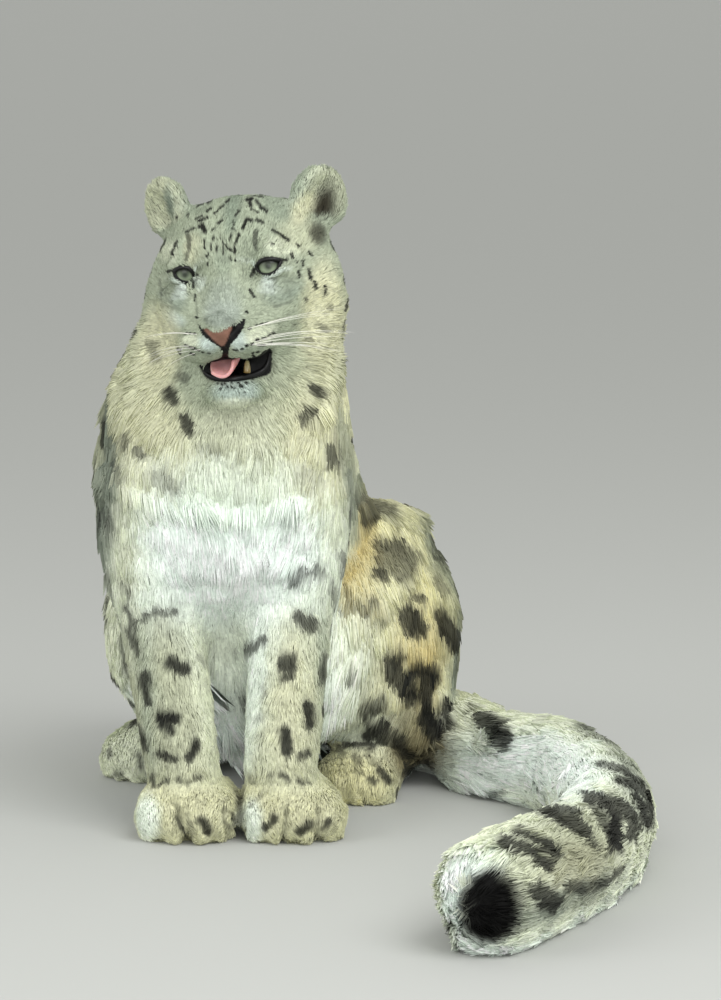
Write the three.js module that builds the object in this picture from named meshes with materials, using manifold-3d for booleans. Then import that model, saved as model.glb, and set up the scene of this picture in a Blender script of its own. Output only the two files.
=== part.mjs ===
// A sitting snow leopard at life size, in millimetres, +Z up, facing -Y, with its own left side at +X.
// The flesh is one soft shape: round blobs that melt into each other, out to the tips of the winter coat.
// That shape is parted by thin cuts into head, neck, trunk, legs, paws, ears and lengths of tail.
import * as THREE from 'three';
import { MarchingCubes } from 'three/addons/objects/MarchingCubes.js';
import { SimplifyModifier } from 'three/addons/modifiers/SimplifyModifier.js';
import { mergeVertices } from 'three/addons/utils/BufferGeometryUtils.js';
import Module from 'manifold-3d';

// Driving dimensions. Places are given from the line of the front toes, then moved to the seat at the end.
const SEAT = [72, 428];
const FRONT_PAW_X = { right: -55, left: 61 };
const FRONT_PAW_HALF_WIDTH = 60;
const HIND_PAW_HALF_WIDTH = 49;
const ELBOW = { right: [-97, 122, 300], left: [60, 120, 300] };
const WRIST = { right: [-62, 64, 80], left: [46, 60, 80] };
const PELVIS = [46, 373, 0];
const PELVIS_TURN = -25;
const HIND_FOOT = { right: [150, -128, 6], left: [138, -130, 4] };
const EYE_MIDPOINT = [-11, 35, 622];
const HEAD_YAW = -11.5;
const HEAD_ROLL = 4.6;
const HEAD_PITCH = 2;
const EYE_SPACING = 94;
const EYE_RADIUS = 15.5;
const EAR_SPACING = 168;
const TAIL_RADIUS = { root: 49, tip: 60 };
const CUT = 0.4;
const GRID = 64;
const FLOOR = 0;

const rad = THREE.MathUtils.degToRad;
const vec = (p) => new THREE.Vector3(...p);
const SIDES = { right: -1, left: 1 };

// A pose is a place and a turn about X, Y and Z in degrees.
function pose(place = [0, 0, 0], turn = [0, 0, 0]) {
  const euler = new THREE.Euler(rad(turn[0]), rad(turn[1]), rad(turn[2]), 'ZYX');
  return new THREE.Matrix4().makeRotationFromEuler(euler).setPosition(...place);
}

const BODY_POSE = pose();
const PELVIS_POSE = pose(PELVIS, [0, 0, PELVIS_TURN]);
const HEAD_POSE = pose(EYE_MIDPOINT, [HEAD_PITCH, -HEAD_ROLL, HEAD_YAW]);

// The soft shape is a list of blobs, each melted into those before it over the width called blend.
const blobs = [];
const hollows = [];

function ellipsoid(frame, centre, radii, turn) {
  const world = frame.clone().multiply(pose(centre, turn));
  const inverse = world.clone().invert().elements;
  const [rx, ry, rz] = radii;
  const smallest = Math.min(rx, ry, rz);
  const away = (x, y, z) => {
    const qx = (inverse[0] * x + inverse[4] * y + inverse[8] * z + inverse[12]) / rx;
    const qy = (inverse[1] * x + inverse[5] * y + inverse[9] * z + inverse[13]) / ry;
    const qz = (inverse[2] * x + inverse[6] * y + inverse[10] * z + inverse[14]) / rz;
    const k0 = Math.hypot(qx, qy, qz);
    const k1 = Math.hypot(qx / rx, qy / ry, qz / rz);
    return k1 < 1e-9 ? -smallest : (k0 * (k0 - 1)) / k1;
  };
  return { away, middle: new THREE.Vector3().setFromMatrixPosition(world), reach: Math.max(rx, ry, rz) };
}

function ball(frame, centre, radii, blend, turn = [0, 0, 0]) {
  blobs.push({ ...ellipsoid(frame, centre, radii, turn), blend });
}

function hollow(frame, centre, radii, blend, turn = [0, 0, 0]) {
  hollows.push({ ...ellipsoid(frame, centre, radii, turn), blend });
}

// A rod is a limb between two points with a round end of its own radius at each.
function rod(frame, from, to, startRadius, endRadius, blend) {
  const a = vec(from).applyMatrix4(frame);
  const b = vec(to).applyMatrix4(frame);
  const along = b.clone().sub(a);
  const lengthSq = along.lengthSq();
  const away = (x, y, z) => {
    const px = x - a.x;
    const py = y - a.y;
    const pz = z - a.z;
    const t = Math.min(1, Math.max(0, (px * along.x + py * along.y + pz * along.z) / lengthSq));
    const radius = startRadius + (endRadius - startRadius) * t;
    return Math.hypot(px - along.x * t, py - along.y * t, pz - along.z * t) - radius;
  };
  const reach = Math.sqrt(lengthSq) / 2 + Math.max(startRadius, endRadius);
  blobs.push({ away, middle: a.clone().add(b).multiplyScalar(0.5), reach, blend });
}

// Trunk: deep chest with its bib, rib cage, sloping back, belly, and the rump that it sits on.
function buildTrunk() {
  ball(BODY_POSE, [-16, 205, 350], [136, 118, 165], 50);
  ball(BODY_POSE, [-5, 108, 390], [116, 92, 140], 50);
  ball(BODY_POSE, [-16, 165, 450], [126, 98, 105], 50);
  ball(BODY_POSE, [14, 285, 330], [124, 105, 145], 60, [-25, 0, 0]);
  ball(BODY_POSE, [16, 235, 180], [118, 120, 140], 50);
  ball(PELVIS_POSE, [0, 10, 190], [128, 134, 156], 60);
  ball(PELVIS_POSE, [0, 62, 95], [118, 85, 108], 50);
}

// Forequarters: shoulder blades, upper arms and straight forelegs.
function buildForeleg(side) {
  const sign = SIDES[side];
  const [ex, ey, ez] = ELBOW[side];
  const shoulder = [ex - 4, ey + 26, ez + 105];
  ball(BODY_POSE, [ex - 6, ey + 30, ez + 95], [57, 84, 118], 36);
  rod(BODY_POSE, shoulder, [ex, ey, ez], 58, 50, 36);
  rod(BODY_POSE, [ex, ey, ez], WRIST[side], 49, 41, 26);
  buildPaw(pose([FRONT_PAW_X[side], 0, 0], [0, 0, sign * 3]), FRONT_PAW_HALF_WIDTH, 1);
}

const footPose = (side) => {
  const [x, y, turn] = HIND_FOOT[side];
  return PELVIS_POSE.clone().multiply(pose([SIDES[side] * x, y, 0], [0, 0, SIDES[side] * turn]));
};

// Hindquarters, given for one side of the pelvis: thigh, knee, folded shin and the long hind foot.
function buildHindleg(side) {
  const sign = SIDES[side];
  ball(PELVIS_POSE, [sign * 124, 12, 172], [80, 130, 164], 34);
  ball(PELVIS_POSE, [sign * 130, -98, 190], [52, 62, 92], 28);
  rod(PELVIS_POSE, [sign * 130, -100, 150], [sign * 130, 20, 52], 46, 40, 16);
  rod(footPose(side), [0, 62, 34], [0, 150, 36], 34, 34, 12);
  buildPaw(footPose(side), HIND_PAW_HALF_WIDTH, 0.88);
}

// A broad furry paw in its own frame: toes at the front on y = 0, four round toes in an arc.
function buildPaw(frame, halfWidth, size) {
  ball(frame, [0, 60 * size, 33 * size], [halfWidth - 5, 56 * size, 37 * size], 16);
  ball(frame, [0, 96 * size, 24], [halfWidth - 16, 36 * size, 30 * size], 14);
  const toeRadius = halfWidth * 0.32;
  for (const [place, back] of [[-1, 38], [-0.36, 26], [0.36, 26], [1, 38]]) {
    const x = place * (halfWidth - toeRadius);
    ball(frame, [x, back * size, 26 * size], [toeRadius, 30 * size, 29 * size], 9, [0, 0, -place * 8]);
  }
}

// Neck and the thick ruff below the jaw.
function buildNeck() {
  ball(BODY_POSE, [6, 135, 555], [104, 92, 90], 40);
  ball(BODY_POSE, [-6, 118, 495], [116, 96, 90], 40);
}

// The head in its own frame, with its origin midway between the eyes.
function buildHead() {
  ball(HEAD_POSE, [0, 84, 9], [86, 84, 62], 30);
  ball(HEAD_POSE, [0, 124, -8], [82, 66, 66], 24);
  ball(HEAD_POSE, [0, 26, 10], [58, 37, 35], 20);
  ball(HEAD_POSE, [0, 2, -28], [29, 36, 34], 16);
  ball(HEAD_POSE, [0, -4, -64], [50, 48, 32], 20);
  for (const sign of [-1, 1]) {
    ball(HEAD_POSE, [sign * 38, 10, 19], [26, 20, 13], 12);
    ball(HEAD_POSE, [sign * 50, 24, -32], [33, 40, 34], 20);
    ball(HEAD_POSE, [sign * 63, 88, -38], [46, 58, 62], 24);
    ball(HEAD_POSE, [sign * 50, 56, -88], [44, 50, 38], 20);
    ball(HEAD_POSE, [sign * 42, 12, -56], [30, 38, 30], 16);
    ball(HEAD_POSE, [sign * 25, -32, -76], [29, 29, 21], 8);
  }
  ball(HEAD_POSE, [0, -46, -60], [22, 17, 15], 6);
  rod(HEAD_POSE, [0, -8, -126], [0, 50, -108], 22, 36, 12);
  ball(HEAD_POSE, [0, -16, -130], [33, 27, 19], 8);
}

// A round, cupped ear that faces forwards and outwards.
const EAR_TURN = 40;
const EAR_LEAN = 14;
const earPose = (sign) =>
  HEAD_POSE.clone().multiply(pose([(sign * EAR_SPACING) / 2, 104, 54], [6, sign * EAR_LEAN, sign * EAR_TURN]));

function buildEar(sign) {
  ball(earPose(sign), [0, 2, 1], [33, 16, 37], 10);
  hollow(earPose(sign), [0, -14, 5], [24, 15, 27], 4);
}

// Eyes, mouth and tongue have plain shapes of their own, so the head only leaves room for them.
const eyeCentre = (sign) => vec([(sign * EYE_SPACING) / 2, 4, 0]).applyMatrix4(HEAD_POSE);

const MOUTH = [2, -46, -104];

function openFace() {
  for (const sign of [-1, 1]) {
    hollow(HEAD_POSE, [sign * 47, -17, 0], [19, 12, 12], 5);
  }
  hollow(HEAD_POSE, MOUTH, [34, 40, 9], 4);
}

// The tail leaves the rump, runs round the left haunch and forwards along the floor.
const TAIL_ROUTE = new THREE.CatmullRomCurve3([
  [90, 455, 85], [165, 445, 62], [222, 395, 54], [250, 330, 52], [272, 280, 50], [308, 248, 49],
  [345, 218, 49], [370, 160, 49], [389, 66, 50], [394, -43, 51], [384, -146, 52], [361, -222, 53],
  [332, -290, 55], [298, -357, 57], [264, -420, 58],
].map(vec));
const TAIL_STEPS = 24;

function buildTail() {
  const points = TAIL_ROUTE.getSpacedPoints(TAIL_STEPS).map((p) => p.toArray());
  const radius = (i) => THREE.MathUtils.lerp(TAIL_RADIUS.root, TAIL_RADIUS.tip, i / TAIL_STEPS);
  for (let i = 0; i < TAIL_STEPS; i++) {
    rod(BODY_POSE, points[i], points[i + 1], radius(i), radius(i + 1), i < 3 ? 24 : 4);
  }
}

buildTrunk();
buildForeleg('right');
buildForeleg('left');
buildHindleg('right');
buildHindleg('left');
buildNeck();
buildHead();
buildEar(-1);
buildEar(1);
buildTail();
openFace();

// How far a point is inside the soft shape, with only the blobs that can reach the box that is asked for.
function depthIn(box) {
  const near = (blob) => box.distanceToPoint(blob.middle) < blob.reach + 60;
  const nearBlobs = blobs.filter(near);
  const nearHollows = hollows.filter(near);
  return (x, y, z) => {
    let d = Infinity;
    for (const blob of nearBlobs) {
      const e = blob.away(x, y, z);
      const h = Math.max(blob.blend - Math.abs(d - e), 0) / blob.blend;
      d = Math.min(d, e) - (h * h * blob.blend) / 4;
    }
    for (const blob of nearHollows) {
      const e = -blob.away(x, y, z);
      const h = Math.max(blob.blend - Math.abs(d - e), 0) / blob.blend;
      d = Math.max(d, e) + (h * h * blob.blend) / 4;
    }
    return -d;
  };
}

const wasm = await Module();
wasm.setup();
const simplifier = new SimplifyModifier();

// A closed geometry as a solid, turned the right way out.
function solidOf(geometry) {
  const bare = new THREE.BufferGeometry().setAttribute('position', geometry.getAttribute('position'));
  bare.setIndex(geometry.index);
  const merged = mergeVertices(bare, 1e-5);
  const kept = [];
  for (let i = 0; i < merged.index.count; i += 3) {
    const [a, b, c] = [0, 1, 2].map((k) => merged.index.getX(i + k));
    if (a !== b && b !== c && c !== a) kept.push(a, b, c);
  }
  const build = (triVerts) =>
    new wasm.Manifold(
      new wasm.Mesh({ numProp: 3, vertProperties: merged.attributes.position.array, triVerts }),
    );
  const made = build(new Uint32Array(kept));
  return made.volume() > 0 ? made : build(new Uint32Array(kept.reverse()));
}

// The soft shape inside a box, closed where the box ends, with about the number of triangles asked for.
async function softSolid(box, triangles) {
  const size = box.getSize(new THREE.Vector3());
  const margin = size.clone().multiplyScalar(4 / GRID);
  const room = new THREE.Box3(box.min.clone().sub(margin), box.max.clone().add(margin));
  const depth = depthIn(room);
  const centre = room.getCenter(new THREE.Vector3());
  const half = room.getSize(new THREE.Vector3()).multiplyScalar(0.5);
  const cubes = new MarchingCubes(GRID, new THREE.MeshStandardMaterial(), false, false, 90000);
  cubes.isolation = 0;
  const place = (i, axis) => centre[axis] + ((i - GRID / 2) / (GRID / 2)) * half[axis];
  const outer = (i) => i < 2 || i > GRID - 3;
  for (let k = 0; k < GRID; k++) {
    for (let j = 0; j < GRID; j++) {
      for (let i = 0; i < GRID; i++) {
        const edge = outer(i) || outer(j) || outer(k);
        const d = edge ? -1 : depth(place(i, 'x'), place(j, 'y'), place(k, 'z'));
        cubes.field[k * GRID * GRID + j * GRID + i] = d;
      }
    }
  }
  cubes.update();
  const positions = cubes.positionArray.slice(0, cubes.count * 3);
  let geometry = new THREE.BufferGeometry().setAttribute('position', new THREE.BufferAttribute(positions, 3));
  geometry = mergeVertices(geometry, 1e-6);
  const extra = geometry.getAttribute('position').count - triangles / 2;
  geometry.scale(half.x, half.y, half.z).translate(centre.x, centre.y, centre.z);
  if (extra > 0) geometry = await simplifier.modify(geometry, extra);
  return solidOf(geometry);
}

// Shares: each names its part and the block of space that it may fill. An earlier share comes first.
const shares = [];

function addShare(name, triangles, colour, own, kept) {
  own.computeBoundingBox();
  shares.push({ name, triangles, colour, box: own.boundingBox, own: solidOf(own), kept: solidOf(kept) });
}

function share(name, frame, centre, size, triangles, colour, turn = [0, 0, 0]) {
  const matrix = frame.clone().multiply(pose(centre, turn));
  const block = (grow) => new THREE.BoxGeometry(...size.map((side) => side + grow)).applyMatrix4(matrix);
  addShare(name, triangles, colour, block(0), block(CUT * 2));
}

// Where the tail lies against the haunch, its share is a tube round its own route.
const TAIL_ROOM = 60;
const TAIL_ROOT_END = 0.5;

function shareTailRoot() {
  const points = TAIL_ROUTE.getPoints(60).slice(0, Math.round(60 * TAIL_ROOT_END));
  const path = new THREE.CatmullRomCurve3(points);
  const tube = (radius) => {
    const section = new THREE.Shape().absarc(0, 0, radius, 0, Math.PI * 2);
    const options = { extrudePath: path, steps: 12, curveSegments: 5, bevelEnabled: false };
    return new THREE.ExtrudeGeometry(section, options);
  };
  addShare('tail_root', 240, CREAM, tube(TAIL_ROOM), tube(TAIL_ROOM + CUT));
}

const CREAM = 0xcfc9ad;
const GREY = 0xa9aa9c;
const WHITE = 0xdde0d6;
const TAN = 0xbfae7f;

// The parts in the order in which they take their room: small ones first, then the large ones round them.
const MID_X = 3;

share('lower_jaw', HEAD_POSE, [0, -30, -144], [92, 96, 68], 420, WHITE);
for (const side of ['right', 'left']) {
  share(`ear_${side}`, earPose(SIDES[side]), [0, 0, 14], [90, 66, 60], 300, GREY);
}
share('head', HEAD_POSE, [0, 60, 50], [300, 400, 356], 1450, CREAM, [22, 0, 0]);
share('neck', BODY_POSE, [0, 150, 545], [460, 520, 250], 460, CREAM, [16, 0, 0]);
for (const side of ['right', 'left']) {
  const sign = SIDES[side];
  share(`forepaw_${side}`, BODY_POSE, [MID_X + sign * 110, 42, 34], [220, 170, 68], 400, WHITE);
  share(`foreleg_${side}`, BODY_POSE, [MID_X + sign * 110, 20, 184], [220, 186, 232], 260, CREAM);
  share(`shoulder_${side}`, BODY_POSE, [MID_X + sign * 160, 105, 370], [160, 220, 140], 300, GREY);
}
share('chest', BODY_POSE, [0, 60, 260], [460, 230, 320], 360, WHITE);
share('tail_tip', BODY_POSE, [310, -360, 62], [260, 300, 124], 260, WHITE);
share('tail_outer', BODY_POSE, [400, -90, 62], [240, 240, 124], 240, WHITE);
share('tail_middle', BODY_POSE, [428, 170, 62], [214, 280, 124], 240, WHITE);
shareTailRoot();
share('back', BODY_POSE, [20, 320, 500], [520, 520, 300], 360, GREY);
for (const side of ['right', 'left']) {
  const sign = SIDES[side];
  share(`hindpaw_${side}`, footPose(side), [0, 34, 33], [140, 150, 66], 340, WHITE);
  share(`shin_${side}`, PELVIS_POSE, [sign * 160, -60, 60], [120, 220, 120], 240, CREAM);
  share(`thigh_${side}`, PELVIS_POSE, [sign * 180, 0, 190], [200, 420, 380], 400, TAN);
}
share('belly', PELVIS_POSE, [0, -170, 190], [520, 240, 380], 300, WHITE);
share('rump', PELVIS_POSE, [0, 60, 190], [520, 440, 380], 400, TAN);

async function buildParts(group) {
  const taken = [];
  for (const part of shares) {
    let solid = (await softSolid(part.box, part.triangles)).intersect(part.own);
    for (const earlier of taken) solid = solid.subtract(earlier.kept);
    for (const room of rooms) solid = solid.subtract(room);
    const [largest] = solid.trimByPlane([0, 0, 1], FLOOR).decompose().sort((a, b) => b.volume() - a.volume());
    group.add(meshOf(part.name, largest, part.colour, COAT_ROUGHNESS));
    taken.push(part);
  }
}

function meshOf(name, solid, colour, roughness) {
  const { vertProperties, triVerts } = solid.getMesh();
  const geometry = new THREE.BufferGeometry();
  geometry.setAttribute('position', new THREE.BufferAttribute(vertProperties, 3));
  geometry.setIndex(new THREE.BufferAttribute(triVerts, 1));
  const mesh = new THREE.Mesh(geometry, new THREE.MeshStandardMaterial({ color: colour, roughness, metalness: 0 }));
  mesh.name = name;
  return mesh;
}

// Eyes, tongue and tooth are plain bodies of their own, and the head and jaw leave room round them.
const COAT_ROUGHNESS = 0.9;
const rooms = [];
const leopard = new THREE.Group();

function addInner(name, shape, colour, roughness) {
  rooms.push(solidOf(shape(CUT)));
  leopard.add(meshOf(name, solidOf(shape(0)), colour, roughness));
}

for (const side of ['right', 'left']) {
  const eye = (grow) => {
    const round = new THREE.SphereGeometry(EYE_RADIUS + grow, 14, 9);
    return round.translate(...eyeCentre(SIDES[side]).toArray());
  };
  addInner(`eye_${side}`, eye, 0xa9b0a4, 0.1);
}

function tongue(grow) {
  const slab = new THREE.SphereGeometry(1, 14, 8).scale(17 + grow, 26 + grow, 6.5 + grow);
  return slab.translate(-4, -22, -104).applyMatrix4(HEAD_POSE);
}

function canine(grow) {
  const cone = new THREE.CylinderGeometry(1 + grow, 4.5 + grow, 17 + grow, 10).rotateX(Math.PI / 2);
  return cone.translate(20, -30, -107).applyMatrix4(HEAD_POSE);
}

addInner('tongue', tongue, 0xc9787c, 0.4);
addInner('canine', canine, 0xd9c88f, 0.35);
await buildParts(leopard);
leopard.position.set(-SEAT[0], -SEAT[1], 0);

export default leopard;
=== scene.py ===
# %% [markdown]
# A sitting snow leopard at life size, as a still model in a museum.
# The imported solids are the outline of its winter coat, so they come first and nothing may leave them.
# Inside them goes one skin, and on the skin a coat of many thin tufts, so that no cut between parts shows.

# %% Load the frame
import math

import bpy
import numpy as np
from mathutils import Matrix, Vector
from mathutils.bvhtree import BVHTree
from mathutils.kdtree import KDTree


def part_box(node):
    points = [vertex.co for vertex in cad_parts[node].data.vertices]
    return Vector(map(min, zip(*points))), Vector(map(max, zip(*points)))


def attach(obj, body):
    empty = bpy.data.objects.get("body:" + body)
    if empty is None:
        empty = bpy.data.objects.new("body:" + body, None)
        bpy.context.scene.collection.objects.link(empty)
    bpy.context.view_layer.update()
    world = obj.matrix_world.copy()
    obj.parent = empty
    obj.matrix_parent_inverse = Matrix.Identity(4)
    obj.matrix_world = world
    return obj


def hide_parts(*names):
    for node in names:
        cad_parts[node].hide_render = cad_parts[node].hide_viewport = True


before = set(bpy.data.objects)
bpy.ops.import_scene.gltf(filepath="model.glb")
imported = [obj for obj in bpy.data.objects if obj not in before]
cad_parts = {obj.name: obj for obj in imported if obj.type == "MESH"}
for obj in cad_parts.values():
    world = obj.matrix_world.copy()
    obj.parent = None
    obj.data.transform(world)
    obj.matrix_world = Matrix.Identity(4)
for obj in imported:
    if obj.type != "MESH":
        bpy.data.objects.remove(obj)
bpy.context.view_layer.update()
INNER = ("eye_left", "eye_right", "tongue", "canine")
FLESH = sorted(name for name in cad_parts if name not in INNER)
MM = 0.001


# %% [markdown]
# The camera stands about four metres in front of the animal, a little above it, with a long lens.
# It is made first, because the markings are found by looking through it at the coat.

# %% Camera
CAMERA_PLACE = Vector((0.061, -4.337, 0.927))
CAMERA_DOWN = math.radians(8.0)
SENSOR = 36.0
PHOTO_SIZE = (721, 1000)
FOCAL_PIXELS = 3704.0

camera_data = bpy.data.cameras.new("camera")
camera_data.sensor_width = SENSOR
camera_data.lens = FOCAL_PIXELS / PHOTO_SIZE[1] * SENSOR
camera = bpy.data.objects.new("camera", camera_data)
camera.location = CAMERA_PLACE
camera.rotation_euler = (math.pi / 2 - CAMERA_DOWN, 0.0, 0.0)
bpy.context.scene.collection.objects.link(camera)
bpy.context.scene.camera = camera

CAMERA_AT = np.array(CAMERA_PLACE)
LOOK = np.array([0.0, math.cos(CAMERA_DOWN), -math.sin(CAMERA_DOWN)])
LOOK_UP = np.array([0.0, math.sin(CAMERA_DOWN), math.cos(CAMERA_DOWN)])


def photo_pixel(points):
    """Where points of the row frame fall in the photo, as columns u and v."""
    away = np.asarray(points) - CAMERA_AT
    depth = away @ LOOK
    u = PHOTO_SIZE[0] / 2 + FOCAL_PIXELS * away[..., 0] / depth
    v = PHOTO_SIZE[1] / 2 - FOCAL_PIXELS * (away @ LOOK_UP) / depth
    return u, v


def pixel_ray(u, v):
    """The direction in which a photo pixel looks."""
    across = (u - PHOTO_SIZE[0] / 2) / FOCAL_PIXELS
    up = (PHOTO_SIZE[1] / 2 - v) / FOCAL_PIXELS
    ray = Vector(LOOK) + Vector((across, 0.0, 0.0)) + Vector(LOOK_UP) * up
    return ray.normalized()


# %% [markdown]
# The head has its own directions. They come from the two eyeballs, so they follow the solids if those move.
# Places on the face are then written as left, back and up from the point midway between the eyes.

# %% Head directions
HEAD_PITCH = math.radians(2.0)
EYE_LINE_BACK = 4.0


def middle(node):
    """The middle of a solid's box."""
    low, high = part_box(node)
    return (low + high) / 2


EYE = {"right": middle("eye_right"), "left": middle("eye_left")}
eye_low, eye_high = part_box("eye_left")
EYE_RADIUS = (eye_high.z - eye_low.z) / 2
head_x = (EYE["left"] - EYE["right"]).normalized()
level_back = Vector((0, 0, 1)).cross(head_x).normalized()
head_back = (level_back + Vector((0, 0, 1)) * math.tan(HEAD_PITCH)).normalized()
head_back = (head_back - head_x * head_back.dot(head_x)).normalized()
head_up = head_x.cross(head_back)
HEAD_AT = (EYE["left"] + EYE["right"]) / 2 - head_back * EYE_LINE_BACK * MM
HEAD = Matrix((head_x, head_back, head_up)).transposed()
HEAD_AXES = np.array([list(head_x), list(head_back), list(head_up)])


def on_head(x, y, z):
    """A place in millimetres left, back and up from between the eyes, put in the row frame."""
    return HEAD_AT + HEAD @ Vector((x, y, z)) * MM


def in_head(points):
    """Points of the row frame in millimetres left, back and up from between the eyes."""
    return (np.asarray(points) - np.array(HEAD_AT)) @ HEAD_AXES.T / MM


print("eye radius", round(EYE_RADIUS / MM, 1), "head at", [round(c, 3) for c in HEAD_AT])


# %% [markdown]
# Helpers for meshes: read and write all points at once, and pick out one object to work on.

# %% Mesh helpers
def only(obj):
    """Makes obj the one selected and active object."""
    bpy.ops.object.select_all(action="DESELECT")
    obj.select_set(True)
    bpy.context.view_layer.objects.active = obj


def read(collection, name, width, kind=np.float32):
    """One property of all points, edges or faces of a mesh, as an array."""
    flat = np.empty(len(collection) * width, kind)
    collection.foreach_get(name, flat)
    return flat.reshape(-1, width)


def get_points(obj):
    """All points of a mesh."""
    return read(obj.data.vertices, "co", 3).astype(np.float64)


def get_normals(obj):
    """The normals at all points of a mesh."""
    return read(obj.data.vertices, "normal", 3).astype(np.float64)


def get_edges(obj):
    """The two point numbers of every edge."""
    return read(obj.data.edges, "vertices", 2, np.int32)


def set_points(obj, points):
    """Moves all points of a mesh to new places."""
    obj.data.vertices.foreach_set("co", points.astype(np.float32).ravel())
    obj.data.update()


def relax(values, edges, rounds, strength=0.5):
    """Pulls each value towards the mean of its neighbours along the edges."""
    count = np.bincount(edges.ravel(), minlength=len(values)).astype(float)
    count = np.maximum(count, 1)[:, None]
    for _ in range(rounds):
        total = np.empty_like(values)
        for axis in range(values.shape[1]):
            column = values[:, axis]
            ends = np.bincount(edges[:, 0], column[edges[:, 1]], len(values))
            total[:, axis] = ends + np.bincount(edges[:, 1], column[edges[:, 0]], len(values))
        values = values + (total / count - values) * strength
    return values


def unit(vectors):
    """The same directions at length one."""
    return vectors / np.maximum(np.linalg.norm(vectors, axis=-1, keepdims=True), 1e-12)


def smooth_step(low, high, values):
    """A soft step from 0 below low to 1 above high."""
    t = np.clip((values - low) / (high - low), 0, 1)
    return t * t * (3 - 2 * t)


WAVES = 5
WAVE_LONG = (1.4, 2.6)
WAVE_SUM = 2.6


def wobble(points, size, seed):
    """Smooth noise from -1 to 1 whose bumps are about size metres across."""
    rng = np.random.default_rng(seed)
    total = np.zeros(len(points))
    for _ in range(WAVES):
        wave = unit(rng.normal(size=3)) * 2 * math.pi / (size * rng.uniform(*WAVE_LONG))
        total += np.sin(points @ wave + rng.uniform(0, 2 * math.pi))
    return np.clip(total / WAVE_SUM, -1, 1)


print("mesh helpers ready")


# %% [markdown]
# The solids are put into one search tree. It tells which solid a point of the skin belongs to, and where
# a photo pixel meets the coat.

# %% Search tree of the solids
def solids_tree(nodes):
    """A search tree of these solids' faces, and the number of the solid that each face belongs to."""
    points, faces, owner = [], [], []
    for number, node in enumerate(nodes):
        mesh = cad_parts[node].data
        start = len(points)
        points.extend(vertex.co.copy() for vertex in mesh.vertices)
        for face in mesh.polygons:
            faces.append([start + corner for corner in face.vertices])
            owner.append(number)
    return BVHTree.FromPolygons(points, faces), np.array(owner)


flesh_tree, flesh_owner = solids_tree(FLESH)


def photo_hit(u, v):
    """The place on the coat's outline that a photo pixel shows."""
    place, _, _, _ = flesh_tree.ray_cast(CAMERA_PLACE, pixel_ray(u, v))
    return place


print("search tree of", len(flesh_owner), "faces")


# %% [markdown]
# The skin starts as a copy of the flesh solids and eyeballs together. They are swollen by a hair so that
# the thin cuts between them close, and a voxel remesh then makes one closed surface.
# A decimation leaves fewer faces on the body than on the head and paws, and the face is divided again,
# because its folds are finer than the body's.

# %% Skin blank
SWELL = 0.7
VOXEL = 3.6
BLANK_ROUNDS = 2
BODY_KEPT = 0.34
FACE_CENTRE = (0.0, -20.0, -45.0)
FACE_REACH = 92.0
HEAD_CENTRE = (0.0, 60.0, -20.0)
HEAD_REACH = 178.0
PAW_HIGH = 0.072
PAW_SIDE = 0.065


def copy_of(nodes, name):
    """One new object that holds copies of these nodes' meshes, with their doubles merged."""
    parts = []
    for node in nodes:
        part = bpy.data.objects.new(name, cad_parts[node].data.copy())
        bpy.context.scene.collection.objects.link(part)
        parts.append(part)
    bpy.ops.object.select_all(action="DESELECT")
    for part in parts:
        part.select_set(True)
    bpy.context.view_layer.objects.active = parts[0]
    bpy.ops.object.join()
    bpy.ops.object.mode_set(mode="EDIT")
    bpy.ops.mesh.select_all(action="SELECT")
    bpy.ops.mesh.remove_doubles(threshold=0.00001)
    bpy.ops.object.mode_set(mode="OBJECT")
    joined = bpy.context.view_layer.objects.active
    joined.data.materials.clear()
    return joined


def divide(obj, chosen):
    """Splits the chosen faces into four."""
    only(obj)
    bpy.ops.object.mode_set(mode="EDIT")
    bpy.ops.mesh.select_mode(type="FACE")
    bpy.ops.mesh.select_all(action="DESELECT")
    bpy.ops.object.mode_set(mode="OBJECT")
    obj.data.polygons.foreach_set("select", chosen)
    bpy.ops.object.mode_set(mode="EDIT")
    bpy.ops.mesh.subdivide(number_cuts=1, smoothness=0)
    bpy.ops.object.mode_set(mode="OBJECT")


def from_point(places, centre):
    """How many millimetres each place is from a point of the head."""
    return np.linalg.norm(in_head(places) - centre, axis=1)


skin = copy_of(FLESH + ["eye_left", "eye_right"], "skin")
set_points(skin, get_points(skin) + get_normals(skin) * SWELL * MM)
only(skin)
skin.data.remesh_voxel_size = VOXEL * MM
bpy.ops.object.voxel_remesh()
set_points(skin, relax(get_points(skin), get_edges(skin), BLANK_ROUNDS))
blank = get_points(skin)
paws = (blank[:, 2] < PAW_HIGH) & (blank[:, 0] < PAW_SIDE)
body_points = np.flatnonzero((from_point(blank, HEAD_CENTRE) > HEAD_REACH) & ~paws)
body_group = skin.vertex_groups.new(name="body")
body_group.add([int(i) for i in body_points], 1.0, "REPLACE")
thin = skin.modifiers.new("thin", "DECIMATE")
thin.ratio = BODY_KEPT
thin.vertex_group = "body"
only(skin)
bpy.ops.object.modifier_apply(modifier="thin")
skin.vertex_groups.clear()
divide(skin, from_point(read(skin.data.polygons, "center", 3), FACE_CENTRE) < FACE_REACH)
print("skin blank", len(skin.data.vertices), "points", len(skin.data.polygons), "faces")


# %% [markdown]
# A snow leopard's coat is short on the face and feet and very deep on the chest, flanks and tail.
# One table gives each part of the body its coat: how deep the skin lies under the outline, how long the
# tufts are, how far they lift from the skin, how wide they are and how far apart they stand.
# Long neck hair starts under the jaw and behind the cheeks, and the chest's lowest hair hangs longest.
# The values are then smoothed over the skin, so that one length runs into the next.

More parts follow.
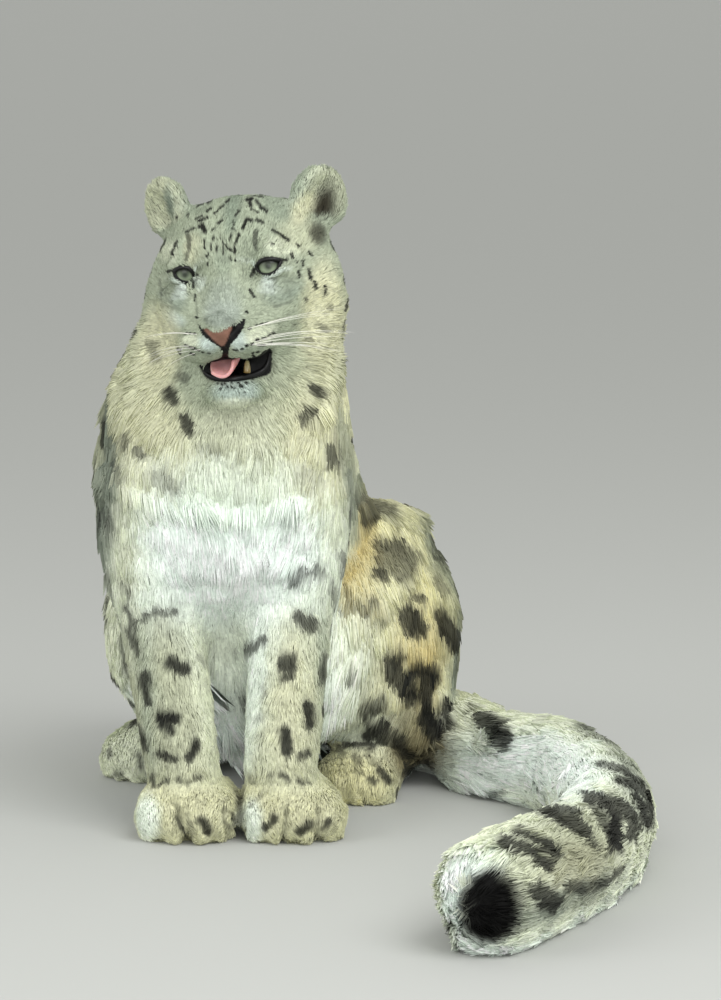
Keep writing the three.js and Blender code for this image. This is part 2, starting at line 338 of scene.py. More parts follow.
# %% Coat table
COAT_TABLE = {
    "head": (4.5, 11, 18, 1.3, 1.45),
    "lower_jaw": (4, 10, 18, 1.3, 1.3),
    "ear": (2, 10, 28, 1.1, 1.35),
    "neck": (13, 36, 14, 1.8, 1.65),
    "chest": (15, 50, 13, 1.9, 1.65),
    "shoulder": (11, 33, 12, 1.9, 1.8),
    "foreleg": (6.5, 18, 15, 1.5, 1.6),
    "forepaw": (4, 10, 22, 1.4, 1.35),
    "back": (13, 38, 13, 2.6, 2.5),
    "belly": (14, 46, 14, 2.6, 2.8),
    "rump": (13, 38, 13, 2.6, 2.5),
    "thigh": (10, 30, 12, 1.9, 1.9),
    "shin": (7, 21, 14, 1.6, 1.75),
    "hindpaw": (4.5, 12, 20, 1.5, 1.5),
    "tail": (13, 36, 13, 1.8, 1.8),
}
DEPTH, LENGTH, LIFT, WIDTH, SPACE = range(5)
NOSE_TIP = (0.0, -60.0, -62.0)
NOSE_COAT = (2.2, 3.8, 18, 1.0, 0.95)
NOSE_NEAR = 22.0
NOSE_FAR = 150.0
SOLE_LIFT = 1.0
FLOOR_ZONE = 22.0
VALUE_ROUNDS = 60
MANE_FROM_NOSE = (75.0, 125.0)
MANE_HIGH = (-100.0, -30.0)
MANE_SHARE = 0.85
FRINGE = 0.4
FRINGE_HIGH = (0.25, 0.36)
NORMAL_ROUNDS = 6
SOLE_FACING = (0.1, 0.7)


def coat_kind(node):
    """The row of the coat table that a node belongs to."""
    return next(kind for kind in COAT_TABLE if node.startswith(kind))


points = get_points(skin)
edges = get_edges(skin)
nearest = [flesh_tree.find_nearest(Vector(place))[2] for place in points]
region = flesh_owner[np.array(nearest)]
by_node = np.array([COAT_TABLE[coat_kind(node)] for node in FLESH], float)
values = by_node[region]
kinds = np.array([coat_kind(node) for node in FLESH])[region]
on_face = np.isin(kinds, ("head", "lower_jaw"))
from_nose = from_point(points, NOSE_TIP)
far = smooth_step(NOSE_NEAR, NOSE_FAR, from_nose)[:, None]
values = np.where(on_face[:, None], values * far + np.array(NOSE_COAT) * (1 - far), values)
head_high = in_head(points)[:, 2]
mane = smooth_step(*MANE_FROM_NOSE, from_nose) * (1 - smooth_step(*MANE_HIGH, head_high)) * on_face
values = values + (np.array(COAT_TABLE["neck"]) - values) * mane[:, None] * MANE_SHARE
fringe = 1 + FRINGE * (1 - smooth_step(*FRINGE_HIGH, points[:, 2])) * (kinds == "chest")
values[:, LENGTH] *= fringe
values = relax(values, edges, VALUE_ROUNDS)
outward = unit(relax(get_normals(skin), edges, NORMAL_ROUNDS))
sole = smooth_step(*SOLE_FACING, -outward[:, 2]) * (1 - smooth_step(0, FLOOR_ZONE * MM, points[:, 2]))
inset = values[:, DEPTH] * (1 - sole) + SOLE_LIFT * sole
points = points - outward * inset[:, None] * MM
points[:, 2] = np.maximum(points[:, 2], SOLE_LIFT * MM)
print("mean depth", round(float(inset.mean()), 1), "mm")


# %% [markdown]
# The lids. Each eye's opening is written down as photo pixels, and every point of the skin in front of the
# eyeball is moved along its line from the eyeball's centre. Outside the opening it lies just over the ball,
# as a lid does, and inside the opening it sinks behind it.

# %% Lids
EYE_OPENING = {
    "right": ((174.6, 272.4), (177.6, 268.7), (182.2, 267.2), (187.8, 268.0), (191.8, 271.4),
              (193.4, 276.6), (191.8, 281.2), (187.4, 281.9), (181.4, 280.4), (177, 277.2)),
    "left": ((280.6, 261.2), (276.6, 259.6), (271, 258.8), (264.6, 259.4), (259.8, 261.8),
             (256.6, 266.2), (258.6, 271.4), (264.4, 274), (271.2, 273), (276.8, 268.8)),
}
IRIS_PIXEL = {"right": (184.8, 275.0), "left": (268.2, 266.6)}
LID_OVER = 1.5
BALL_UNDER = 4.0
LID_NEAR = 4.0
LID_FAR = 14.0
LID_REACH = 2.4
LID_EDGE = (-1.4, 0.5)
LID_SLOPE = 0.12
CURVE_STEPS = 6
NOT_NEAR = 99.0


def smooth_loop(corners):
    """A closed Catmull-Rom curve through the corners."""
    corners = np.array(corners, float)
    before, after, later = (np.roll(corners, shift, 0) for shift in (1, -1, -2))
    loop = []
    for t in np.arange(CURVE_STEPS) / CURVE_STEPS:
        near = 2 * corners + (after - before) * t
        bend = (2 * before - 5 * corners + 4 * after - later) * t ** 2
        loop.append((near + bend + (3 * corners - before - 3 * after + later) * t ** 3) / 2)
    return np.stack(loop, 1).reshape(-1, 2)


def segment_gap(u, v, ends):
    """Distance in pixels from each u, v to a straight stroke."""
    u1, v1, u2, v2 = ends
    along = max((u2 - u1) ** 2 + (v2 - v1) ** 2, 1e-9)
    t = np.clip(((u - u1) * (u2 - u1) + (v - v1) * (v2 - v1)) / along, 0, 1)
    return np.hypot(u - u1 - t * (u2 - u1), v - v1 - t * (v2 - v1))


def outside_by(u, v, loop):
    """Distance in pixels from a closed outline, negative inside it."""
    gap = np.full(len(u), 1e9)
    inside = np.zeros(len(u), bool)
    for (u1, v1), (u2, v2) in zip(loop, np.roll(loop, -1, 0)):
        gap = np.minimum(gap, segment_gap(u, v, (u1, v1, u2, v2)))
        crosses = (v1 > v) != (v2 > v)
        slope = (u2 - u1) / (v2 - v1 if v2 != v1 else 1e-9)
        inside ^= crosses & (u < u1 + (v - v1) * slope)
    return np.where(inside, -gap, gap)


lid_gap = np.full(len(points), NOT_NEAR)
for side, corners in EYE_OPENING.items():
    centre = np.array(EYE[side])
    away = points - centre
    reach = np.linalg.norm(away, axis=1)
    ahead = -(away @ np.array(head_back)) / np.maximum(reach, 1e-9)
    close = np.flatnonzero((reach < LID_REACH * EYE_RADIUS) & (ahead > 0.0))
    ray = unit(away[close])
    u, v = photo_pixel(centre + ray * EYE_RADIUS)
    gap = outside_by(u, v, smooth_loop(corners))
    over = EYE_RADIUS / MM - BALL_UNDER + (BALL_UNDER + LID_OVER) * smooth_step(*LID_EDGE, gap)
    over = over + LID_SLOPE * np.maximum(gap, 0)
    pull = 1 - smooth_step(LID_NEAR, LID_FAR, gap)
    kept = reach[close] / MM
    points[close] = centre + ray * (kept + (over - kept) * pull)[:, None] * MM
    seen = outside_by(*photo_pixel(points[close]), smooth_loop(corners))
    lid_gap[close] = np.minimum(lid_gap[close], np.maximum(gap, seen))
print("points in the eye openings", int((lid_gap < 0).sum()))


# %% [markdown]
# The nose leather, lips and the mouth's lining carry no hair. Their outlines are also photo pixels.
# Small pushes in and out shape the nostrils, the groove under the nose, the whisker pads, the brows and
# the toes, as thumbs would on a clay model.

# %% Nose, mouth and other dabs
NOSE_PATCH = ((203.6, 328), (212, 330.4), (222, 329.2), (231.4, 326.4), (228, 336.5), (222.6, 345.8),
              (213.4, 339.4))
NOSE_LEATHER = ((198, 321), (204, 327.5), (214, 330.5), (226, 328), (238, 321.5), (244.6, 318.2),
                (243.4, 327), (237, 337), (229.6, 345.5), (227.4, 357.6), (222.8, 357.6),
                (220.4, 348), (211, 341.5), (202.4, 334))
MOUTH_OPENING = ((199, 363.6), (203.5, 366), (211.5, 361.4), (224, 357), (243, 359.2), (253, 357.6),
                 (262, 353), (269.5, 349.4), (271.4, 353), (270, 371), (266, 374), (253, 377.6),
                 (242, 379.4), (231, 380.4), (216, 380.2), (207, 377))
# u, v, radius in mm, push outwards in mm
DABS = (
    (207, 345, 11, 2.2), (243, 343, 12, 2.2), (224, 333, 8, 1.2), (205.5, 330.5, 4, -2.0),
    (236.5, 330, 5, -3.4), (231.5, 334, 3.4, -2.2), (211.5, 336.5, 3.4, -1.6), (224.5, 350, 3.2, -2.0),
    (225, 356, 3.0, -1.6), (239, 384, 14, 1.2), (186, 259, 10, 2.6), (266, 248, 10, 2.6),
    (197, 284, 6, -2.2), (251, 278, 6, -2.2), (223, 285, 13, 1.0), (223, 258, 5, -1.2),
    (97, 440, 38, -12.0), (98, 490, 30, -8.0), (440, 545, 36, -11.0), (450, 718, 36, 9.0),
    (106, 560, 26, -3.0),
    (156, 822, 15, 3.0), (204, 824, 14, 3.0), (231, 822, 8, 2.0), (262, 822, 15, 3.0),
    (301, 824, 13, 3.0), (331, 820, 11, 2.5), (190, 796, 22, 2.0), (292, 796, 22, 2.0),
)
# the same for the points of some parts only
PART_DABS = (
    ("thigh shin rump", 446, 742, 36, 14.0), ("tail", 462, 745, 34, -6.0),
    ("neck chest", 228, 498, 46, -5.0), ("chest", 228, 578, 52, 5.0),
)
# u and v of both ends, half width in mm, depth in mm
GROOVES = (
    (239.0, 780.0, 239.5, 845.0, 6.0, 18.0), (175.0, 803.0, 187.0, 840.0, 4.4, 9.0),
    (223.0, 808.0, 229.0, 840.0, 4.0, 7.0), (286.5, 810.0, 283.0, 842.0, 4.4, 9.0),
    (318.5, 808.0, 317.0, 840.0, 4.0, 7.0), (202.0, 821.0, 207.0, 831.0, 3.4, 5.0),
    (267.5, 826.0, 275.0, 819.0, 3.2, 3.5), (301.0, 832.0, 309.0, 825.5, 3.0, 3.5),
    (324.0, 828.0, 328.0, 822.0, 2.6, 3.0), (251.0, 806.0, 262.0, 795.5, 2.2, 2.5),
    (262.0, 795.5, 275.0, 793.0, 2.2, 2.0), (233.0, 813.0, 236.0, 826.0, 2.4, 3.0),
    (340.5, 789.0, 343.0, 800.0, 3.0, 4.0), (362.0, 790.0, 364.0, 803.0, 3.0, 4.0),
)
DAB_EDGE = 1.7
DAB_FALL = 1.6
DAB_SLACK = 12.0
FINE_ROUNDS = 2
NOSE_REACH = 42.0
MOUTH_AT = (2.0, -46.0, -104.0)
MOUTH_REACH = 62.0
MOUTH_BARE = 1.4
LID_BARE = 1.8
EYE_SHORTER = 0.5
EYE_SHORT_ZONE = (3.0, 14.0)


def near_place(places, target, reach):
    """Which places are within reach millimetres of the target."""
    return np.flatnonzero(np.linalg.norm(places - np.array(target), axis=1) < reach * MM)


def finder(places):
    """The same search made quick for many targets, because the places are sorted from side to side."""
    order = np.argsort(places[:, 0])
    across = places[order, 0]

    def near(target, reach):
        ends = np.searchsorted(across, (target[0] - reach * MM, target[0] + reach * MM))
        some = order[ends[0]:ends[1]]
        return some[np.linalg.norm(places[some] - np.array(target), axis=1) < reach * MM]

    return near


set_points(skin, points)
outward = unit(relax(get_normals(skin), edges, FINE_ROUNDS))
for parts, u, v, radius, push in [("", *row) for row in DABS] + list(PART_DABS):
    target = photo_hit(u, v)
    close = near_place(points, target, radius * DAB_EDGE + DAB_SLACK)
    pu, pv = photo_pixel(points[close])
    off = np.hypot(pu - u, pv - v) / radius
    strength = np.exp(-(off ** 2) * DAB_FALL) * (off < DAB_EDGE)
    if parts:
        strength = strength * np.isin(kinds[close], parts.split())
    points[close] += outward[close] * (strength * push * MM)[:, None]
for u1, v1, u2, v2, radius, depth in GROOVES:
    target = photo_hit((u1 + u2) / 2, (v1 + v2) / 2)
    reach = math.hypot(u2 - u1, v2 - v1) / 2 + radius * 2 + DAB_SLACK
    close = near_place(points, target, reach)
    off = segment_gap(*photo_pixel(points[close]), (u1, v1, u2, v2)) / radius
    points[close] -= outward[close] * (np.exp(-(off ** 2)) * depth * MM)[:, None]
points[:, 2] = np.maximum(points[:, 2], SOLE_LIFT * MM)
set_points(skin, points)
pixel_u, pixel_v = photo_pixel(points)
nose_gap = np.full(len(points), NOT_NEAR)
close = near_place(points, on_head(*NOSE_TIP), NOSE_REACH)
nose_gap[close] = outside_by(pixel_u[close], pixel_v[close], smooth_loop(NOSE_LEATHER))
mouth_gap = np.full(len(points), NOT_NEAR)
close = near_place(points, on_head(*MOUTH_AT), MOUTH_REACH)
mouth_gap[close] = outside_by(pixel_u[close], pixel_v[close], np.array(MOUTH_OPENING, float))
bare = np.minimum(np.minimum(nose_gap, mouth_gap - MOUTH_BARE), lid_gap - LID_BARE) < 0
values[:, LENGTH] *= 1 - EYE_SHORTER * (1 - smooth_step(*EYE_SHORT_ZONE, lid_gap))
print("bare points", int(bare.sum()))


# %% [markdown]
# The lie of the coat. Hair runs from the nose over the face and crown, down the neck and chest, down and
# back over the trunk, down the legs, forwards over the toes and along the tail.
# Each part gets one guide direction. On the neck and chest it turns in towards the parting in the middle.
# The directions are smoothed over the skin and laid flat on it.

# %% Lie of the coat
LIE_GUIDE = {
    "neck": (0.0, 0.1, -1.0),
    "chest": (0.0, 0.0, -1.0),
    "shoulder": (0.0, 0.15, -1.0),
    "foreleg": (0.0, 0.05, -1.0),
    "forepaw": (0.0, -1.0, -0.75),
    "back": (0.0, 0.45, -0.9),
    "belly": (0.0, 0.0, -1.0),
    "rump": (0.25, 0.6, -0.7),
    "thigh": (0.0, 0.05, -1.0),
    "shin": (0.0, -0.3, -1.0),
    "hindpaw": (0.0, -1.0, -0.7),
}
TAIL_ROUTE = np.array((
    (18, 27, 85), (93, 17, 62), (150, -33, 54), (178, -98, 52), (200, -148, 50), (236, -180, 49),
    (273, -210, 49), (298, -268, 49), (317, -362, 50), (322, -471, 51), (312, -574, 52),
    (289, -650, 53), (260, -718, 55), (226, -785, 57), (192, -848, 58),
)) * MM
EAR_OUT = 0.35
LIE_ROUNDS = 22
LIE_FROM = (0.0, -30.0, -62.0)
PARTING_X = -0.069
PARTING_WIDE = 0.07
PARTING_PULL = 0.38

lie = np.zeros_like(points)
for kind, guide in LIE_GUIDE.items():
    lie[kinds == kind] = guide
front = np.isin(kinds, ("neck", "chest", "shoulder"))
lie[front, 0] -= PARTING_PULL * np.clip((points[front, 0] - PARTING_X) / PARTING_WIDE, -1, 1)
lie[on_face] = unit(points[on_face] - np.array(on_head(*LIE_FROM)))
ears = np.flatnonzero(kinds == "ear")
outwards = np.sign(in_head(points[ears])[:, 0])[:, None]
lie[ears] = np.array(head_up) + outwards * EAR_OUT * np.array(head_x)
tail = np.flatnonzero(kinds == "tail")
middles = (TAIL_ROUTE[1:] + TAIL_ROUTE[:-1]) / 2
gaps = np.linalg.norm(points[tail][:, None] - middles[None], axis=2)
weights = 1 / gaps ** 4
lie[tail] = unit(weights @ unit(np.diff(TAIL_ROUTE, axis=0)))
lie = relax(unit(lie), edges, LIE_ROUNDS)
skin_normal = unit(relax(get_normals(skin), edges, FINE_ROUNDS))
lie = unit(lie - skin_normal * (lie * skin_normal).sum(1, keepdims=True))
print("lie of the coat ready for", len(lie), "points")


# %% [markdown]
# Colours. They are written as a painter reads them from a colour card, from 0 to 255, and turned into the
# linear values that the shader needs. Each part has a base colour, and soft washes change it where the
# photo shows white, cream, orange or smoke grey. Some washes are painted shade: on and under the chin,
# on the whisker pads, on the top of the chest and the right foreleg, in the right ear's hollow and the
# left ear's groove, and at the heel between the haunch and the hind foot.

# %% Base colours
COLOURS = {
    "cream": (208, 208, 176), "pale": (222, 227, 204), "white": (239, 250, 242),
    "leg": (191, 195, 170), "smoke": (114, 123, 111), "smoke_pale": (164, 174, 156),
    "orange": (197, 180, 122), "straw": (222, 219, 175), "tan": (112, 102, 68), "paw": (203, 203, 170),
    "dark": (37, 38, 34), "black": (13, 13, 12), "face": (163, 172, 150), "face_dark": (131, 143, 126),
    # pad is the white of the whisker pads, painted darker and bluish as shade
    "patch": (136, 147, 132), "nose_grey": (160, 170, 160), "pad": (190, 203, 195),
    "umber": (46, 43, 33), "leather": (126, 93, 79), "lip": (13, 13, 13),
    # chin is white fur painted darker as shade; chest_shade and leg_shade are painted shade
    "chin": (172, 186, 176), "chest_shade": (212, 224, 210), "leg_shade": (166, 170, 146),
    "tail_shade": (170, 174, 148),
}
BASE = {
    "head": "face", "lower_jaw": "face", "ear": "smoke_pale", "neck": "cream", "chest": "white",
    "shoulder": "pale", "foreleg": "leg", "forepaw": "paw", "back": "smoke", "belly": "white",
    "thigh_right": "pale", "shin_right": "pale", "hindpaw_right": "pale",
    "rump": "smoke", "thigh": "straw", "shin": "pale", "hindpaw": "paw", "tail": "pale",
}
# parts, u, v, half width, half height, turn in degrees, colour, strength
WASHES = (
    ("neck chest shoulder foreleg", 225, 548, 112, 84, 0, "white", 1.0),
    # painted shade on the top of the chest, which faces the light from above
    ("neck chest", 225, 503, 66, 16, 0, "chest_shade", 1.0),
    ("neck head lower_jaw", 236, 446, 40, 40, 0, "pale", 0.6),
    ("neck head", 150, 430, 34, 40, 0, "cream", 0.6),
    # painted shadow under the chin, in the leg colour
    ("neck lower_jaw", 237, 434, 42, 22, 0, "leg", 0.9),
    ("neck head", 325, 430, 30, 50, 0, "cream", 0.8),
    ("neck", 198, 402, 10, 26, -10, "face_dark", 0.35),
    ("neck shoulder back foreleg", 103, 470, 11, 150, 4, "smoke", 0.95),
    ("neck shoulder back", 352, 470, 7, 70, -8, "smoke", 0.8),
    ("foreleg shoulder", 190, 596, 60, 34, 0, "white", 0.7),
    # painted shade on the right foreleg
    ("foreleg", 160, 690, 34, 96, 0, "leg_shade", 0.75),
    ("shoulder foreleg", 126, 560, 16, 40, 0, "leg", 0.9),
    ("foreleg", 205, 690, 12, 80, -8, "pale", 0.7),
    ("foreleg", 250, 690, 14, 90, 8, "white", 0.7),
    ("foreleg", 146, 690, 8, 90, -3, "smoke_pale", 0.6),
    ("foreleg", 296, 700, 24, 80, 4, "cream", 0.6),
    ("foreleg", 322, 640, 7, 80, -2, "smoke_pale", 0.6),
    ("forepaw", 146, 818, 14, 26, 0, "white", 0.7),
    ("forepaw", 250, 822, 12, 24, 0, "white", 0.7),
    ("thigh", 357, 565, 14, 62, 12, "orange", 1.0),
    ("thigh", 372, 545, 14, 26, 30, "orange", 0.5),
    ("thigh shin", 424, 652, 20, 56, -4, "orange", 0.9),
    ("thigh", 396, 595, 24, 34, 0, "cream", 0.7),
    ("thigh", 412, 525, 40, 22, 40, "cream", 0.8),
    # brownish tan at the bottom of the haunch, darkened further as painted shadow at the heel
    ("thigh shin rump hindpaw tail", 417, 742, 31, 42, 0, "tan", 0.95),
    ("thigh shin", 352, 650, 36, 48, -20, "leg", 0.9),
    ("shin thigh", 352, 715, 28, 26, 0, "leg", 0.9),
    ("thigh rump back", 443, 555, 9, 76, -22, "smoke", 0.9),
    ("thigh rump shin", 460, 690, 8, 80, 0, "smoke", 0.95),
    # painted shadow between the haunch and the hind foot
    ("thigh shin rump tail", 404, 782, 20, 18, 0, "umber", 0.8),
    ("hindpaw", 352, 782, 34, 30, 0, "straw", 0.9),
    ("hindpaw", 372, 780, 14, 22, 0, "straw", 0.6),
    ("head", 192, 248, 9, 16, 0, "cream", 0.5),
    ("head", 247, 250, 8, 14, 0, "face_dark", 0.35),
    ("head", 223, 262, 9, 14, 0, "face_dark", 0.5),
    ("head", 232, 205, 9, 30, 10, "face_dark", 0.9),
    ("head", 284, 205, 30, 16, 30, "face_dark", 0.6),
    ("head", 195, 205, 20, 10, -20, "face_dark", 0.4),
    ("head", 300, 235, 20, 20, 30, "cream", 0.4),
    ("head", 223, 303, 20, 26, 0, "nose_grey", 0.55),
    ("head", 222, 314, 20, 14, 0, "nose_grey", 0.6),
    ("head", 167, 252, 9, 12, 30, "pale", 0.6),
    ("head", 282, 247, 18, 8, 20, "pale", 0.6),
    ("head", 199, 277, 5, 12, 0, "white", 0.75),
    ("head", 249, 268, 5, 10, 0, "white", 0.75),
    ("head", 172, 299, 15, 13, 15, "patch", 0.95),
    ("head", 283, 291, 22, 13, -15, "patch", 0.85),
    ("head", 182, 284.6, 15, 2.7, 20, "white", 1.0),
    ("head", 272, 276.4, 20, 2.9, -26, "white", 1.0),
    # the whisker pads: white fur painted darker and bluish as shade
    ("head", 173, 319, 12, 7, 20, "pad", 0.7),
    ("head", 208, 344, 12, 8, 30, "pad", 1.0),
    ("head", 238, 340, 10, 11, -30, "pad", 0.95),
    ("head", 260, 334, 17, 10, -20, "pale", 0.7),
    ("head", 190, 341, 9, 7, 10, "pale", 0.6),
    ("head", 200, 352, 14, 4, 12, "face_dark", 0.5),
    ("head", 254, 349, 14, 4, -14, "face_dark", 0.5),
    # the chin: white fur painted darker as shade
    ("lower_jaw neck", 236, 390, 25, 14, 0, "chin", 1.0),
    ("lower_jaw neck", 238, 405, 24, 7, 0, "pale", 0.8),
    ("head neck", 325, 320, 22, 60, 0, "cream", 0.95),
    ("head neck", 157, 350, 22, 46, 0, "cream", 0.85),
    ("ear", 160, 205, 22, 36, 0, "leg", 1.0),
    # painted shadow in the groove between the left ear's ridge and its fluff
    ("ear", 171, 202, 3.4, 18, -8, "patch", 1.0),
    ("ear", 328, 190, 24, 30, 0, "leg", 0.8),
    # painted shade in the hollow of the right ear and at its foot
    ("ear", 322, 212, 13, 28, 16, "umber", 1.0),
    ("ear head", 319, 233, 9, 11, 0, "umber", 0.85),
    ("ear head", 303, 208, 9, 18, 30, "cream", 0.8),
    ("tail", 535, 762, 74, 36, 6, "white", 1.0),
    ("tail", 470, 770, 26, 34, 0, "white", 0.9),
    ("tail", 572, 842, 60, 40, -16, "tail_shade", 0.9),
    ("tail", 588, 868, 34, 32, -20, "tan", 0.35),
    ("tail", 632, 770, 14, 60, -20, "smoke", 0.7),
    ("tail", 600, 722, 56, 12, 20, "smoke", 0.7),
    ("tail", 560, 908, 60, 12, -25, "smoke", 0.8),
    ("tail", 474, 862, 34, 22, 0, "white", 1.0),
    ("tail", 448, 905, 18, 54, 0, "white", 1.0),
)
WASH_EDGE = 1.35
WASH_DOWN = 0.45
WASH_CORE = 0.55
WASH_FACING = (-0.25, 0.1)
WASH_ROUNDS = 3
BASE_ROUNDS = 40
MANE_CREAM = 0.7
BACK_FACING = (-0.05, 0.75)
BACK_GREY = 0.8
EAR_BACK_FACING = (0.1, 0.5)
EAR_BACK_GREY = 0.8
UNDER_FACING = (0.2, 0.8)
UNDER_WHITE = 0.9


def linear(colour):
    """The linear values of a colour from a colour card."""
    share = np.array(colour, float) / 255
    return np.where(share <= 0.04045, share / 12.92, ((share + 0.055) / 1.055) ** 2.4)


PAINT = {name: linear(colour) for name, colour in COLOURS.items()}
base = np.array([PAINT[BASE.get(node, BASE[coat_kind(node)])] for node in FLESH])[region]
base = base + (PAINT["cream"] - base) * (mane * MANE_CREAM)[:, None]
base = relax(base, edges, BASE_ROUNDS)
greyed = np.isin(kinds, ("neck", "shoulder", "thigh", "foreleg", "head", "rump"))
behind = smooth_step(*BACK_FACING, skin_normal[:, 1]) * greyed
base = base + (PAINT["smoke"] - base) * behind[:, None] * BACK_GREY
ear_back = smooth_step(*EAR_BACK_FACING, skin_normal @ np.array(head_back)) * (kinds == "ear")
base = base + (PAINT["patch"] - base) * ear_back[:, None] * EAR_BACK_GREY
under = smooth_step(*UNDER_FACING, -skin_normal[:, 2])
under = under * np.isin(kinds, ("tail", "belly", "thigh", "shin"))
base = base + (PAINT["white"] - base) * under[:, None] * UNDER_WHITE
coat_points = points + skin_normal * values[:, [DEPTH]] * MM
coat_u, coat_v = photo_pixel(coat_points + lie * values[:, [LENGTH]] * WASH_DOWN * MM)
facing = (unit(CAMERA_AT - points) * skin_normal).sum(1)
for parts, u, v, half_u, half_v, turn, colour, strength in WASHES:
    cos, sin = math.cos(math.radians(turn)), math.sin(math.radians(turn))
    du, dv = coat_u - u, coat_v - v
    off = np.hypot((du * cos + dv * sin) / half_u, (dv * cos - du * sin) / half_v)
    mix = (1 - smooth_step(WASH_CORE, WASH_EDGE, off)) * strength * np.isin(kinds, parts.split())
    mix = mix * smooth_step(*WASH_FACING, facing)
    base = base + (PAINT[colour] - base) * mix[:, None]
base = relax(base, edges, WASH_ROUNDS)
print("washes", len(WASHES))
